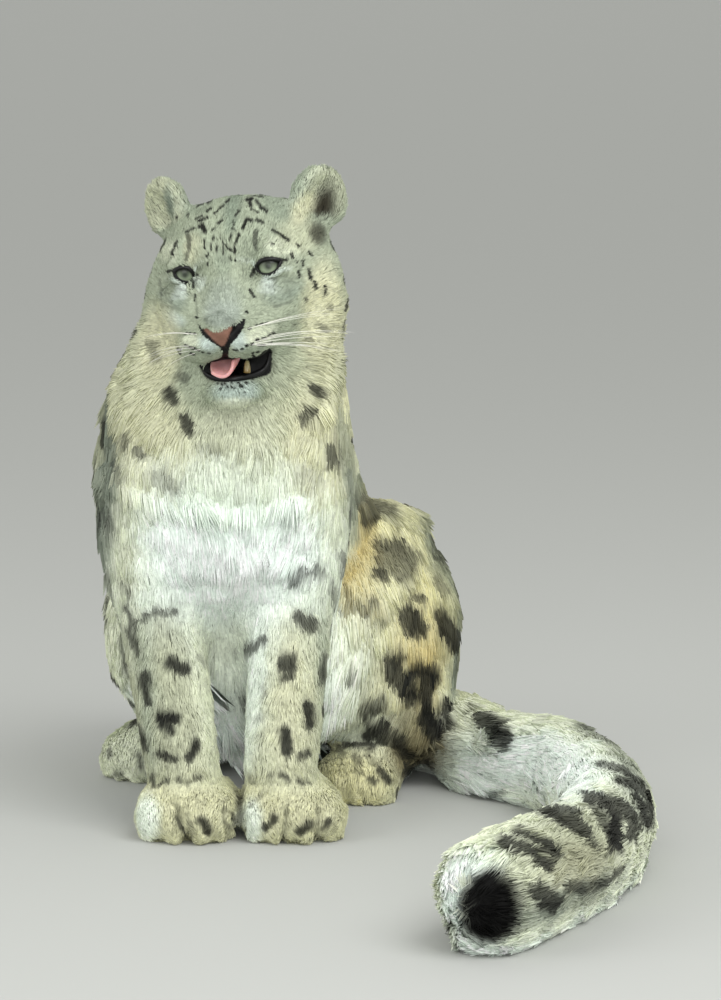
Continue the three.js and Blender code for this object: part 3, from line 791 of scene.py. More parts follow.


# %% [markdown]
# Markings. The snow leopard has small black dashes on the face, solid spots on the legs and smoky rosettes
# on the body. Those that the photo shows are strokes between two photo pixels with a half width and a
# strength. Each is found on the coat's outline, so it stays on its own part of the body. The strokes in the
# grooves between the toes and at the heel are painted shade.

# %% Markings in the photo
FACE_MARKS = (
    (204.5, 239.1, 204.2, 246.4, 1.6, 1), (202.6, 224.4, 205.1, 231, 3, 1),
    (198.9, 225.9, 203.3, 225.4, 2.2, 1), (186.5, 231.7, 194.5, 227.3, 1.2, 1),
    (212.1, 228.8, 215.8, 227.3, 1.2, 1), (218, 222.5, 223.1, 220.4, 1.3, 1),
    (199.7, 220.4, 207.7, 216.6, 1.3, 1), (196, 219, 202.6, 215.2, 1.2, 1),
    (207, 211.6, 212.1, 207.8, 1.3, 1), (214.3, 212.7, 223.9, 205.3, 1.5, 1),
    (197.5, 206.1, 203.3, 203.4, 1.2, 1), (207.7, 202.4, 212.1, 199.9, 1.5, 1),
    (226.1, 202.4, 229.8, 199.5, 1.4, 1), (235.9, 214.9, 239.3, 210.5, 1.5, 1),
    (247.4, 199.5, 251.8, 198.4, 2.6, 1), (249.6, 200.2, 251, 205.3, 2.4, 1),
    (256.4, 200.2, 261.3, 206.8, 1.7, 1), (262, 207.5, 267.2, 210.8, 2, 1),
    (251.8, 209, 258.4, 212.2, 1.5, 1), (233.4, 221.5, 234.9, 223.7, 1.4, 1),
    (232.7, 227.8, 234.4, 228.7, 1.4, 1), (243, 228.1, 246.6, 220, 2.2, 1),
    (246.6, 219.3, 251.8, 220, 2.2, 1), (256.9, 219.6, 262.8, 221.9, 2.4, 1),
    (231.7, 233.7, 229.5, 239.1, 1.3, 1), (239.3, 233.2, 235.6, 241.3, 1.8, 1),
    (213.6, 236.9, 212.9, 239.1, 1.4, 1), (216.8, 237.2, 217.4, 238.3, 1, 1),
    (220.1, 236.6, 220.7, 238.3, 1, 1), (211.1, 242, 210.8, 249.3, 1.3, 1),
    (216.8, 245.4, 216, 250.1, 1.2, 1), (222.9, 239.8, 223, 253, 1, 1),
    (225.9, 243.5, 226.2, 246.4, 1, 1), (228.6, 247.4, 231.2, 249.3, 1.7, 1),
    (234.6, 246, 234.9, 251.5, 1.7, 1), (206.6, 255.2, 208, 252.3, 1.6, 1),
    (230.3, 256.2, 231.8, 258.9, 1.5, 1), (235.3, 257.7, 235.9, 260.1, 1.1, 1),
    (207.7, 261.8, 207.7, 264, 1.2, 1), (272, 229.5, 281.1, 234.7, 1.7, 1),
    (281.1, 234.7, 288.7, 239.5, 2.2, 1), (272, 242.7, 274.5, 243, 1.7, 1),
    (296.9, 243.5, 299, 245.4, 1.9, 1), (309.3, 250.4, 313.1, 255.2, 1.7, 1),
    (291.4, 253, 292.8, 256.2, 1.8, 1), (303.4, 260.3, 303.7, 265.5, 1.8, 1),
    (296.6, 259.6, 298.1, 261.8, 1.2, 1), (298.7, 271.8, 299.9, 277.2, 2, 1),
    (309.3, 269.2, 311, 278, 2.2, 1), (315.1, 281.6, 316.9, 286.8, 2.6, 1),
    (325.7, 285.3, 326.3, 294.1, 2, 1), (305.4, 297.8, 306.9, 299.2, 1.8, 1),
    (250.3, 289.4, 254.7, 295.6, 2, 1), (176.9, 241.3, 171.8, 252.3, 1.8, 1),
    (176.6, 215.6, 177.5, 217.1, 1.6, 1), (188.1, 214.1, 189, 215.6, 1.6, 1),
    (160.1, 279.4, 161.1, 295.6, 1.6, 0.4),
    (194.8, 294.8, 194, 300, 1.4, 1), (153.5, 209, 153.2, 211.6, 1, 1),
    (249.4, 328.9, 250.6, 328.5, 1.5, 1), (256.7, 325.5, 257.9, 325.1, 1.3, 1),
    (260.8, 324.9, 263.7, 324, 1.5, 1), (266.2, 323.2, 267.8, 322.6, 1.2, 1),
    (246.7, 346.1, 247.8, 345.6, 1.6, 1), (251.7, 344.6, 253.7, 344.1, 1.6, 1),
    (256.7, 340.8, 259.1, 340.3, 1.9, 1), (263.3, 339, 266.2, 338.3, 1.6, 1),
    (268.3, 336.5, 270.7, 335.5, 1.3, 1), (273.2, 334, 275.7, 333.2, 1.1, 1),
    (258.3, 345.6, 260.4, 345.4, 1.3, 1), (261.6, 345.4, 264.9, 345.2, 1.2, 1),
    (268.7, 343.9, 272, 343.1, 1, 1), (236.3, 350.4, 238.4, 350.2, 1, 1),
    (241.3, 349.4, 243.4, 348.8, 1.1, 1), (233, 349.8, 235.5, 350.2, 0.9, 1),
    (184.9, 334, 186.6, 333.3, 1, 1), (189.2, 333.6, 190.4, 333.7, 1, 1),
    (193.5, 334, 194.7, 334.3, 1.3, 1), (184.9, 345.2, 187.8, 346.6, 1.2, 1),
    (189.1, 347.7, 194, 348.9, 1.6, 1), (196.5, 349.8, 198.6, 350.7, 1.2, 1),
    (201.5, 352.2, 203.2, 352.7, 1, 1), (207.3, 353.2, 209.4, 353.6, 1, 1),
    (177.9, 349.4, 180.4, 350.1, 1.6, 1), (177, 353.5, 180.4, 353.5, 1.4, 1),
    (190.7, 353.9, 193.6, 354.4, 1.4, 1), (189.5, 353.9, 190.7, 353.1, 1, 1),
    (195.7, 317, 196.9, 317.8, 1.3, 1), (246.7, 311.1, 248.4, 311.8, 1.5, 1),
    (253.7, 355.4, 255, 356.1, 1, 1), (257.1, 352.2, 259.1, 351.6, 1.1, 1),
    (252.9, 353.1, 254.2, 352.4, 1, 1), (219.8, 390, 221, 389.1, 1.2, 1),
    (223.5, 381.7, 225.1, 384.6, 1, 1), (230.9, 382.1, 231.8, 383.7, 1, 1),
    (231.4, 387.1, 232.6, 388.3, 1.2, 1), (237.6, 382.1, 239.2, 383.3, 1.4, 1),
    (240.5, 386.2, 242.6, 387.1, 2, 1), (246.3, 382.9, 247.9, 383.7, 1.4, 1),
    (238.8, 392.9, 239.2, 393, 0.9, 1), (244.6, 393.3, 245.5, 392.9, 1.1, 1),
    (227.2, 387.1, 228, 387.9, 0.9, 1), (216.4, 383.7, 217.7, 384.2, 0.9, 1),
    (221.4, 384.6, 222.2, 385.4, 1, 1), (252.1, 379.6, 253.3, 379.6, 1, 1),
    (234.7, 387.9, 235.5, 388.7, 0.9, 1), (187.9, 235.4, 188.7, 247.1, 3.2, 0.7),
    (188.7, 247.1, 185.7, 258.9, 2.4, 0.6), (256.4, 231, 255.9, 242.7, 3.6, 0.7),
    (256.4, 242.7, 256.4, 249.3, 1.8, 0.5), (167.5, 271, 173, 269.4, 1.6, 0.95),
    (193.2, 281.5, 193, 286.4, 2, 0.95), (255, 268.6, 251.4, 275.4, 2.4, 0.95),
    (280, 259.6, 287.6, 258.6, 1.8, 0.95), (159.6, 279, 161, 300, 1.1, 0.2),
    (183.5, 377.6, 185, 379, 6, 0.5), (322.6, 326, 325.4, 329, 4.6, 0.6), (309, 339, 312, 341, 4, 0.5),
    (331, 305, 332.6, 308.4, 3.4, 0.6), (152.5, 357.6, 155.6, 360.6, 5, 0.4),
    (276, 306.4, 292, 301, 1.6, 0.35), (195.8, 297, 196.6, 314, 1.3, 0.3), (266, 284, 280, 291, 1.2, 0.2),
    (165, 292, 178, 296, 1.2, 0.22), (163, 304, 180, 309, 1.2, 0.2), (280, 281, 296, 282, 1.2, 0.2),
    (212, 322, 214, 326, 4, 0.14), (228, 320, 234, 323, 4, 0.14), (205, 320, 210, 325, 3, 0.16),
    (177, 287.5, 188, 291.6, 0.9, 0.3), (262, 281.6, 277, 278.5, 0.9, 0.3),
)
COAT_MARKS = (
    (168, 394, 172, 402, 5, 0.9), (185, 422, 187, 434, 5, 0.9), (178, 377, 184, 381, 4, 0.6),
    (137, 458, 145, 462, 4, 0.7), (122, 440, 125, 452, 3.5, 0.7), (204, 454, 216, 456, 4.5, 0.35),
    (160, 484, 176, 492, 7, 0.45), (317, 390, 323, 394, 5, 0.9), (303, 427, 314, 415, 4.5, 0.85),
    (331, 454, 333, 466, 6, 0.8), (300, 480, 314, 484, 6, 0.3), (150, 345, 154, 360, 5, 0.5),
    (117, 470, 119, 486, 3, 0.5), (108, 520, 112, 535, 4, 0.5), (340, 560, 343, 572, 3, 0.6),
    (346, 600, 348, 615, 3, 0.5), (358.6, 506.5, 370.8, 498.4, 5, 0.6),
    (366.7, 520.8, 381, 510.6, 7.5, 0.8), (381, 510.6, 395.3, 513.7, 6, 0.7),
    (364.7, 528, 376.9, 520.8, 3.5, 0.8), (389.2, 551.4, 399.4, 550.4, 6.5, 0.85),
    (381, 567.8, 387.1, 561.6, 6, 0.7), (378, 580, 383.1, 582, 5.5, 0.9),
    (391.2, 571.8, 397.3, 578, 6, 0.6), (405.5, 582, 411.6, 569.8, 6, 0.75),
    (399.4, 558.6, 407.6, 563.7, 5.5, 0.8), (411.6, 602.4, 422.9, 604.5, 3.4, 0.8),
    (415.7, 620.8, 410.6, 636.1, 5.6, 0.95), (441.8, 617.8, 442.7, 623.9, 3.6, 0.9),
    (441.2, 633.1, 447.3, 641.2, 4.6, 0.95), (447.3, 643.3, 454.5, 649.4, 4.8, 0.95),
    (360.6, 620.8, 373.9, 610.6, 4.6, 0.7), (368.8, 631, 385.1, 624.9, 3.4, 0.45),
    (406.5, 680, 416.7, 668.8, 4.2, 1), (417.8, 668.8, 434.1, 675.9, 4.2, 1),
    (434.1, 675.9, 432, 688.2, 4.4, 1), (404.5, 684.1, 401.4, 696.3, 4.2, 1),
    (401.4, 697.3, 413.7, 698.4, 5.6, 1), (419.8, 696.3, 432, 690.2, 3.4, 0.95),
    (411.6, 684.1, 423.9, 684.1, 5, 0.45), (398.4, 659.6, 391.2, 675.9, 5.2, 0.95),
    (389.2, 682, 395.3, 684.1, 3.2, 0.8), (425.9, 712.7, 430, 722.9, 6, 1),
    (432, 722.9, 440.2, 733.1, 5.4, 1), (444.3, 707.6, 450.4, 712.7, 4.4, 1),
    (450.4, 714.7, 452.4, 726.9, 3.2, 0.9), (346.3, 686.1, 354.5, 682, 2.6, 0.7),
    (364.7, 716.7, 379, 708.6, 4, 0.85), (379, 700.4, 382, 710.6, 2.6, 0.85),
    (368.8, 737.1, 381, 729, 6.2, 0.95), (379, 726.9, 384.1, 735.1, 3.6, 0.9),
    # the strokes at (398, 742), (404, 770) and (429, 761.6) are painted shadow at the heel, between the
    # haunch and the hind foot
    (341.2, 747.3, 374.9, 748.4, 2.8, 0.9), (398, 742, 404, 756, 6, 0.9),
    (404, 770, 420, 782, 6, 0.8), (429, 761.6, 432, 771.8, 3.4, 0.7),
    (437.1, 586.1, 444.3, 596.3, 4.5, 0.5), (459.6, 659.6, 457.6, 680, 3.4, 0.55),
    (379, 771.8, 387.1, 781, 3, 0.9), (369.8, 780, 373.9, 784.1, 2, 0.85),
    (354.5, 759.6, 360.6, 762.7, 1.8, 0.7), (356.9, 771.8, 360.2, 774.3, 1.8, 0.7),
    (338.2, 752.4, 341.8, 754.5, 1.8, 0.6), (366.7, 757.6, 376.9, 769.8, 2.4, 0.5),
    (108.3, 576.6, 112.6, 606.2, 1.7, 0.6), (125.5, 589.6, 131.1, 597, 1.7, 0.7),
    (128.3, 610.9, 134.2, 628.4, 2, 0.8), (129.2, 632.1, 139, 655.2, 3.1, 0.8),
    (120.9, 641.4, 128.7, 674.6, 2, 0.7), (141.2, 623.8, 154.2, 616.4, 2.4, 0.8),
    (154.2, 616.4, 174.5, 615.5, 2.8, 0.8), (170.8, 665.4, 183.8, 671.9, 6.3, 0.95),
    (144.9, 678.3, 145.9, 689.4, 4.4, 0.9), (146.8, 693.1, 148.6, 706.1, 3, 0.9),
    (162.5, 720.9, 173.6, 720.9, 6.3, 1), (159.7, 728.3, 170.8, 732.9, 3.7, 0.95),
    (139.4, 730.1, 146.4, 751.4, 2.6, 0.9), (158.8, 756, 176.4, 761.6, 3.1, 0.95),
    (188.4, 761.6, 196.7, 744.9, 3.5, 0.95), (198.6, 659.9, 205.9, 669.1, 1.7, 0.45),
    (153.2, 778.2, 154.5, 787.1, 1.7, 0.8), (158.8, 787.1, 166.7, 782.4, 1.3, 0.9),
    (178.2, 782.8, 181, 784.7, 1.5, 0.8), (188.4, 784.7, 200, 780, 1.3, 0.85),
    (291.9, 584, 303.9, 578.5, 4.4, 0.7), (298.4, 576.6, 316, 576.6, 5.2, 0.75),
    (297.5, 621, 312.3, 628.4, 5.9, 0.85), (282.7, 660.8, 292.9, 658.9, 4.1, 0.85),
    (283.6, 669.1, 291, 670.9, 6.3, 0.9), (284.5, 680.2, 290.1, 678.3, 3.7, 0.85),
    (245.7, 656.2, 265.1, 641.4, 3.1, 0.8), (330.2, 587.7, 333.5, 609.9, 1.5, 0.6),
    (341.5, 560, 340.9, 582.2, 1.7, 0.8), (323.9, 659.9, 321.5, 685.7, 2.6, 0.75),
    (307.6, 707.9, 309.9, 727.3, 4.1, 0.95), (283.6, 734.7, 288.2, 754.2, 5, 0.95),
    (297.5, 760.6, 308, 755.1, 2.4, 0.9), (264.2, 689.4, 264.2, 697.8, 1.5, 0.45),
    (257.7, 722.7, 262.3, 723.6, 1.7, 0.5), (249.4, 781, 253.1, 784.1, 1.1, 0.6),
    (269.7, 776.3, 270.7, 777.3, 1.1, 0.6), (280.8, 776.3, 290.1, 782.8, 1.7, 0.9),
    (297.5, 781.9, 303, 786.5, 2, 0.9), (307.6, 784.7, 310.4, 785.2, 1.1, 0.8),
    # the strokes along the toes from here to (251.2, 806.9) are painted shade in the grooves between the toes
    (176.4, 819.8, 182.3, 830.3, 1.7, 0.8), (200, 819.8, 208.2, 833.3, 2, 0.95),
    (223, 821.6, 228.5, 829, 1.3, 0.7), (231.5, 814.3, 235.9, 822.6, 1.5, 0.7),
    (187.5, 816.1, 193.4, 837.4, 0.6, 0.5), (266.6, 828.5, 274.7, 819.2, 1.8, 0.9),
    (299.9, 832.2, 308, 825.5, 1.8, 0.9), (323.9, 827, 328.4, 822.9, 1.5, 0.9),
    (251.2, 806.9, 262.3, 794.5, 0.7, 0.5), (109.8, 751.4, 111.6, 756.4, 2.2, 0.6),
    (139.9, 757.9, 140.3, 768.9, 1.7, 0.7), (115.3, 775.4, 122.7, 776.3, 1.7, 0.6),
    (101.5, 750.5, 102, 754.2, 1.1, 0.5), (492.9, 722.9, 506.2, 724.3, 3.9, 0.9),
    (495.5, 730.9, 505.4, 732.7, 5.7, 0.95), (499.1, 739.8, 504.5, 741.6, 3.6, 0.9),
    (600.9, 766.6, 619.6, 763, 3.9, 0.5), (619.6, 782.7, 635.7, 790.7, 4.6, 0.85),
    (635.7, 765.7, 646.4, 787.1, 3.9, 0.6), (635.7, 796.1, 643.8, 826.4, 4.3, 0.95),
    (644.6, 794.3, 650.4, 808.6, 3.6, 0.9), (587.5, 805, 600.9, 797, 5, 0.9),
    (600.9, 801.4, 612.5, 819.3, 6.4, 0.95), (610.7, 822.9, 612.5, 846.1, 6.1, 1),
    (617.9, 805, 627.7, 815.7, 3.9, 0.8), (627.7, 822.9, 626.8, 840.7, 3.6, 0.85),
    (522.3, 811.2, 541.1, 813, 2.7, 0.8), (541.1, 813, 562.5, 824.6, 5, 0.95),
    (557.1, 810.4, 576.8, 815.7, 4.3, 0.85), (567.9, 822.9, 583.9, 835.4, 5.4, 0.9),
    (584.8, 838.9, 592, 847, 2.9, 0.8), (501.8, 841.6, 525, 852.3, 2, 0.9),
    (525, 852.3, 543.8, 871.1, 3.4, 0.95), (512.5, 833.6, 532.1, 840.7, 2.3, 0.9),
    (532.1, 840.7, 554.5, 854.1, 3.9, 0.95), (566.1, 885.4, 583.9, 890.7, 4.3, 0.8),
    (583.9, 890.7, 605.4, 880, 3.6, 0.8), (605.4, 880, 621.4, 869.3, 3.2, 0.8),
    (539.3, 904.1, 550, 906.8, 6.1, 0.95), (542.9, 899.6, 557.1, 903.2, 3.6, 0.8),
    (582.1, 730, 621.4, 746.1, 3.6, 0.45), (468.8, 715.7, 476.8, 706.8, 2.5, 0.4),
    # the strokes from (176, 806) to (201, 821) follow the grooves between the toes: painted shade
    (492.9, 795.2, 505.4, 792.9, 1.8, 0.7), (176, 806, 186, 834, 1.4, 0.45),
    (224, 812, 229, 838, 1.3, 0.4), (286, 814, 283.4, 840, 1.3, 0.4), (318, 812, 317, 838, 1.2, 0.35),
    (239.4, 800, 239.4, 843, 2.2, 0.6), (266, 829, 276, 819, 3, 0.85), (301, 832, 310, 825, 3, 0.8),
    (324, 828, 328, 822, 2.2, 0.8), (201, 821, 207, 832, 3, 0.9), (488, 718, 508, 742, 8, 0.9),
    (603, 763, 626, 772, 6.5, 0.75), (626, 772, 641, 790, 7, 0.85), (642, 780, 650, 804, 6, 0.9),
    (650, 804, 647, 824, 5, 0.9), (523, 805, 545, 812, 5, 0.8), (545, 812, 576, 830, 7, 0.9),
    (588, 799, 612, 804, 6.5, 0.9), (612, 804, 629, 820, 7, 0.9), (629, 820, 631, 838, 5, 0.9),
    (590, 803, 606, 830, 5, 0.75), (606, 830, 611, 850, 6, 0.9), (500, 843, 524, 852, 4.4, 0.9),
    (524, 852, 545, 866, 5, 0.9), (514, 834, 539, 845, 4.2, 0.85), (539, 845, 553, 857, 5, 0.9),
    (535, 892, 556, 906, 8, 0.9), (566, 888, 600, 884, 5, 0.6), (408, 620, 418, 634, 9, 0.9),
    (384, 552, 410, 562, 9, 0.75), (388, 566, 404, 580, 9, 0.7), (357, 508, 392, 516, 8, 0.6),
    (440, 618, 446, 630, 7, 0.9), (447, 634, 456, 648, 7, 0.9), (396, 682, 412, 700, 9, 0.9),
    (412, 676, 432, 682, 7, 0.95), (428, 684, 424, 700, 7, 0.95), (425, 720, 436, 738, 8, 0.95),
    (444, 716, 450, 728, 6, 0.9), (388, 664, 396, 682, 7, 0.9), (364, 712, 380, 706, 6, 0.7),
    # the stroke at (392, 738) is painted shadow at the heel
    (372, 730, 382, 742, 6.5, 0.85), (336, 620, 360, 612, 5, 0.4), (392, 738, 400, 752, 6, 0.8),
)
FACE_EDGE = 0.7
FACE_THIN = 0.74
COAT_EDGE = 3.4
COAT_WIDE = 1.06
COAT_RAGGED = 1.6
PIXEL = 1.06
STROKE_SLACK = 24.0
STROKE_TRIES = (0.5, 0.3, 0.7, 0.1, 0.9)
RAGGED_SIZE = 0.007
RAGGED_SEED = 5
FACE_RAGGED = 0.3


def stroke_centre(stroke):
    """The middle of a stroke on the coat's outline."""
    u1, v1, u2, v2 = stroke[:4]
    for t in STROKE_TRIES:
        place = photo_hit(u1 + (u2 - u1) * t, v1 + (v2 - v1) * t)
        if place is not None:
            return np.array(place)
    return None


def photo_marks(places, strokes, soft, ragged, thin):
    """How dark the photo's markings make each place, from 0 to 1."""
    dark = np.zeros(len(places))
    u, v = photo_pixel(places)
    noise = wobble(places, RAGGED_SIZE, RAGGED_SEED) * ragged
    near = finder(places)
    for stroke in strokes:
        centre = stroke_centre(stroke)
        if centre is None:
            print("stroke off the coat", stroke)
            continue
        u1, v1, u2, v2, half, strength = stroke
        half = half * thin
        reach = (math.hypot(u2 - u1, v2 - v1) / 2 + half + soft) * PIXEL + STROKE_SLACK
        close = near(centre, reach)
        gap = segment_gap(u[close], v[close], (u1, v1, u2, v2)) + noise[close]
        shade = strength * (1 - smooth_step(half - soft * 0.5, half + soft, gap))
        dark[close] = np.maximum(dark[close], shade)
    return dark


print("strokes", len(FACE_MARKS), "on the face", len(COAT_MARKS), "on the coat")


# %% [markdown]
# Where the photo doesn't show the animal, markings of the same kind are spread evenly: rosettes on the
# body, spots on the legs and head, and broad blotches on the tail.

# %% Markings on the unseen sides
GAP_TABLE = {
    "head": 24, "lower_jaw": 99, "ear": 99, "neck": 46, "chest": 999, "shoulder": 50, "foreleg": 40,
    "forepaw": 999, "back": 66, "belly": 999, "rump": 62, "thigh": 56, "shin": 42, "hindpaw": 34,
    "tail": 84,
}
NO_MARKS = 0.9
MARK_SIZE = 0.33
MARK_SEED = 11
MARK_WOBBLE = (0.011, 9)
MARK_RAGGED = 0.14
MARK_TALL = 0.82
MARK_REACH = 1.7
MARK_SLACK = 8.0
MARK_EDGE = (0.8, 1.15)
MARK_DARK = 0.85
RING_MIDDLE = 0.42
RING_INNER = (0.4, 0.65)
RING_GAPS = (0.62, 0.9)
RING_GAP_PALE = 0.65
RING_TURN = 6.28
LOWEST_FACING = -0.45
RING_KINDS = ("back", "rump", "thigh", "shoulder", "tail")
SEEN_FACING = 0.12
HIDDEN_BY = 0.05
TRIES = 16000
FACE_MARKED = 150.0
LEGS_GAP = ((196.0, 250.0), (620.0, 790.0))


def hidden(place):
    """Whether something stands between the camera and this place."""
    ray = Vector(place) - CAMERA_PLACE
    hit = flesh_tree.ray_cast(CAMERA_PLACE, ray.normalized())[0]
    return hit is not None and (hit - CAMERA_PLACE).length < ray.length - HIDDEN_BY


def between_legs(u, v):
    """Whether a pixel lies in the gap between the forelegs, which shows no marks."""
    (left, right), (top, bottom) = LEGS_GAP
    return left < u < right and top < v < bottom


rng = np.random.default_rng(MARK_SEED)
taken = [place for place in map(stroke_centre, FACE_MARKS + COAT_MARKS) if place is not None]
spread = []
gap_of = np.array([GAP_TABLE[coat_kind(node)] for node in FLESH])
for index in rng.permutation(len(points))[:TRIES]:
    gap = gap_of[region[index]] * MM
    if gap > NO_MARKS or skin_normal[index, 2] < LOWEST_FACING:
        continue
    place = coat_points[index]
    if np.linalg.norm(np.array(taken) - place, axis=1).min() < gap:
        continue
    if facing[index] > SEEN_FACING and not hidden(place):
        continue
    if on_face[index] and from_nose[index] < FACE_MARKED:
        continue
    if between_legs(coat_u[index], coat_v[index]):
        continue
    taken.append(place)
    ring = kinds[index] in RING_KINDS
    phase = rng.uniform(0, RING_TURN)
    spread.append((place, lie[index], skin_normal[index], gap * MARK_SIZE, ring, phase))


def spread_marks(places):
    """How dark the spread markings make each place, from 0 to 1."""
    dark = np.zeros(len(places))
    noise = wobble(places, *MARK_WOBBLE)
    near = finder(places)
    for centre, along, up, size, ring, phase in spread:
        close = near(centre, size * MARK_REACH / MM + MARK_SLACK)
        away = places[close] - centre
        x = away @ np.cross(along, up)
        y = away @ along
        off = np.hypot(x, y * MARK_TALL) / size + noise[close] * MARK_RAGGED
        shade = 1 - smooth_step(*MARK_EDGE, off)
        if ring:
            turn = np.arctan2(y, x)
            gaps = 0.5 + 0.5 * np.sin(turn * 3 + phase) * np.sin(turn * 2 + phase * 2)
            shade = shade * (RING_MIDDLE + (1 - RING_MIDDLE) * smooth_step(*RING_INNER, off))
            shade = shade * (1 - RING_GAP_PALE * smooth_step(*RING_GAPS, gaps))
        dark[close] = np.maximum(dark[close], shade * MARK_DARK)
    return dark


print("spread markings", len(spread))


# %% [markdown]
# One function gives the coat's colour at any place: base colour, then markings. Skin and tufts both use it,
# so the skin that shows between tufts carries the same pattern.

# %% Coat colour
TAIL_TIP_PIXEL = (489.0, 907.0)
TAIL_TIP_SIZE = (33.0, 39.0)
TAIL_TIP_REACH = 190.0
TAIL_TIP_EDGE = (0.72, 1.12)
SKIN_TONE = 0.8
LEATHER_EDGE = (-0.6, 1.2)
LEATHER_NEAR = 1.0
NOSE_EDGE = 0.6
LIP_EDGE = (1.0, 2.4)
RIM_EDGE = (1.8, 3.2)


def coat_colour(places, ground):
    """The coat's colour at each place, from its base colour there."""
    dark = spread_marks(places)
    dark = np.maximum(dark, photo_marks(places, FACE_MARKS, FACE_EDGE, FACE_RAGGED, FACE_THIN))
    dark = np.maximum(dark, photo_marks(places, COAT_MARKS, COAT_EDGE, COAT_RAGGED, COAT_WIDE))
    tip = tail_tip_dark(places)
    colour = ground + (PAINT["dark"] - ground) * dark[:, None]
    return colour + (PAINT["black"] - colour) * tip[:, None]


def tail_tip_dark(places):
    """The black end of the tail."""
    u, v = photo_pixel(places)
    (tip_u, tip_v), (half_u, half_v) = TAIL_TIP_PIXEL, TAIL_TIP_SIZE
    off = np.hypot((u - tip_u) / half_u, (v - tip_v) / half_v)
    shade = 1 - smooth_step(*TAIL_TIP_EDGE, off)
    ends = np.linalg.norm(places - TAIL_ROUTE[-1], axis=1) < TAIL_TIP_REACH * MM
    return shade * ends


skin_colour = coat_colour(coat_points, base) * SKIN_TONE
leather = np.zeros(len(points))
close = np.flatnonzero(nose_gap < LEATHER_NEAR)
patch_gap = outside_by(pixel_u[close], pixel_v[close], smooth_loop(NOSE_PATCH))
leather[close] = 1 - smooth_step(*LEATHER_EDGE, patch_gap)
nose_tone = PAINT["lip"] + (PAINT["leather"] - PAINT["lip"]) * leather[:, None]
skin_colour = np.where((nose_gap < NOSE_EDGE)[:, None], nose_tone, skin_colour)
lips = 1 - smooth_step(*LIP_EDGE, mouth_gap)
skin_colour = skin_colour + (PAINT["lip"] - skin_colour) * lips[:, None]
rims = 1 - smooth_step(*RIM_EDGE, lid_gap)
skin_colour = skin_colour + (PAINT["lip"] - skin_colour) * rims[:, None]
print("skin colours ready")


# %% [markdown]
# Materials. Skin and coat read their colour from an attribute of the mesh, and a shared group breaks it up
# a little, as single hairs of different tones do.

# %% Shared colour grain
COAT_GRAIN = (260.0, 0.22)
SKIN_GRAIN = (700.0, 0.3)


def new_node(tree, kind, inputs=None, **settings):
    """A shader node with its plain values and settings."""
    made = tree.nodes.new(kind)
    for name, value in settings.items():
        setattr(made, name, value)
    for name, value in (inputs or {}).items():
        made.inputs[name].default_value = value
    return made


def wire(tree, *rows):
    """Links nodes. Each row names a node, its output, the next node and its input."""
    for start, output, end, entry in rows:
        tree.links.new(start.outputs[output], end.inputs[entry])


def set_stops(ramp, *stops):
    """Gives a colour ramp its stops, each a position and a colour of the card."""
    elements = ramp.color_ramp.elements
    while len(elements) < len(stops):
        elements.new(0.5)
    for element, (position, colour) in zip(elements, stops):
        element.position = position
        element.color = (*linear(colour), 1.0)


def make_grain_group():
    """A group that makes a colour lighter and darker in small grains."""
    group = bpy.data.node_groups.new("hair_grain", "ShaderNodeTree")
    sockets = group.interface
    sockets.new_socket("Color", in_out="INPUT", socket_type="NodeSocketColor")
    sockets.new_socket("Scale", in_out="INPUT", socket_type="NodeSocketFloat")
    sockets.new_socket("Amount", in_out="INPUT", socket_type="NodeSocketFloat")
    sockets.new_socket("Color", in_out="OUTPUT", socket_type="NodeSocketColor")
    sockets.new_socket("Height", in_out="OUTPUT", socket_type="NodeSocketFloat")
    start = group.nodes.new("NodeGroupInput")
    end = group.nodes.new("NodeGroupOutput")
    place = new_node(group, "ShaderNodeTexCoord")
    noise = new_node(group, "ShaderNodeTexNoise", {"Detail": 3.0, "Roughness": 0.6})
    spread_out = new_node(group, "ShaderNodeMapRange", {"To Min": -1.0, "To Max": 1.0})
    times = new_node(group, "ShaderNodeMath", operation="MULTIPLY")
    plus = new_node(group, "ShaderNodeMath", {1: 1.0}, operation="ADD")
    scale = new_node(group, "ShaderNodeVectorMath", operation="SCALE")
    wire(group,
         (place, "Object", noise, "Vector"), (start, "Scale", noise, "Scale"),
         (noise, "Fac", spread_out, "Value"), (spread_out, "Result", times, 0),
         (start, "Amount", times, 1), (times, "Value", plus, 0),
         (start, "Color", scale, 0), (plus, "Value", scale, "Scale"),
         (scale, "Vector", end, "Color"), (noise, "Fac", end, "Height"))
    return group


GRAIN = make_grain_group()


def new_material(name, **sockets):
    """A material with its Principled BSDF, whose plain values are set on the shader's own sockets."""
    material = bpy.data.materials.new(name)
    material.use_nodes = True
    shader = material.node_tree.nodes["Principled BSDF"]
    for socket, value in sockets.items():
        shader.inputs[socket.replace("_", " ")].default_value = value
    return material, shader


def coloured_by_attribute(material, shader, scale, amount):
    """Feeds the mesh's coat attribute through the grain group into the base colour."""
    tree = material.node_tree
    colour = new_node(tree, "ShaderNodeAttribute", attribute_name="coat")
    grain = new_node(tree, "ShaderNodeGroup", node_tree=GRAIN)
    grain.inputs["Scale"].default_value = scale
    grain.inputs["Amount"].default_value = amount
    wire(tree, (colour, "Color", grain, "Color"), (grain, "Color", shader, "Base Color"))
    return grain


coat_material, coat_shader = new_material("coat", Roughness=0.8)
coat_shader.inputs["Specular IOR Level"].default_value = 0.15
coloured_by_attribute(coat_material, coat_shader, *COAT_GRAIN)

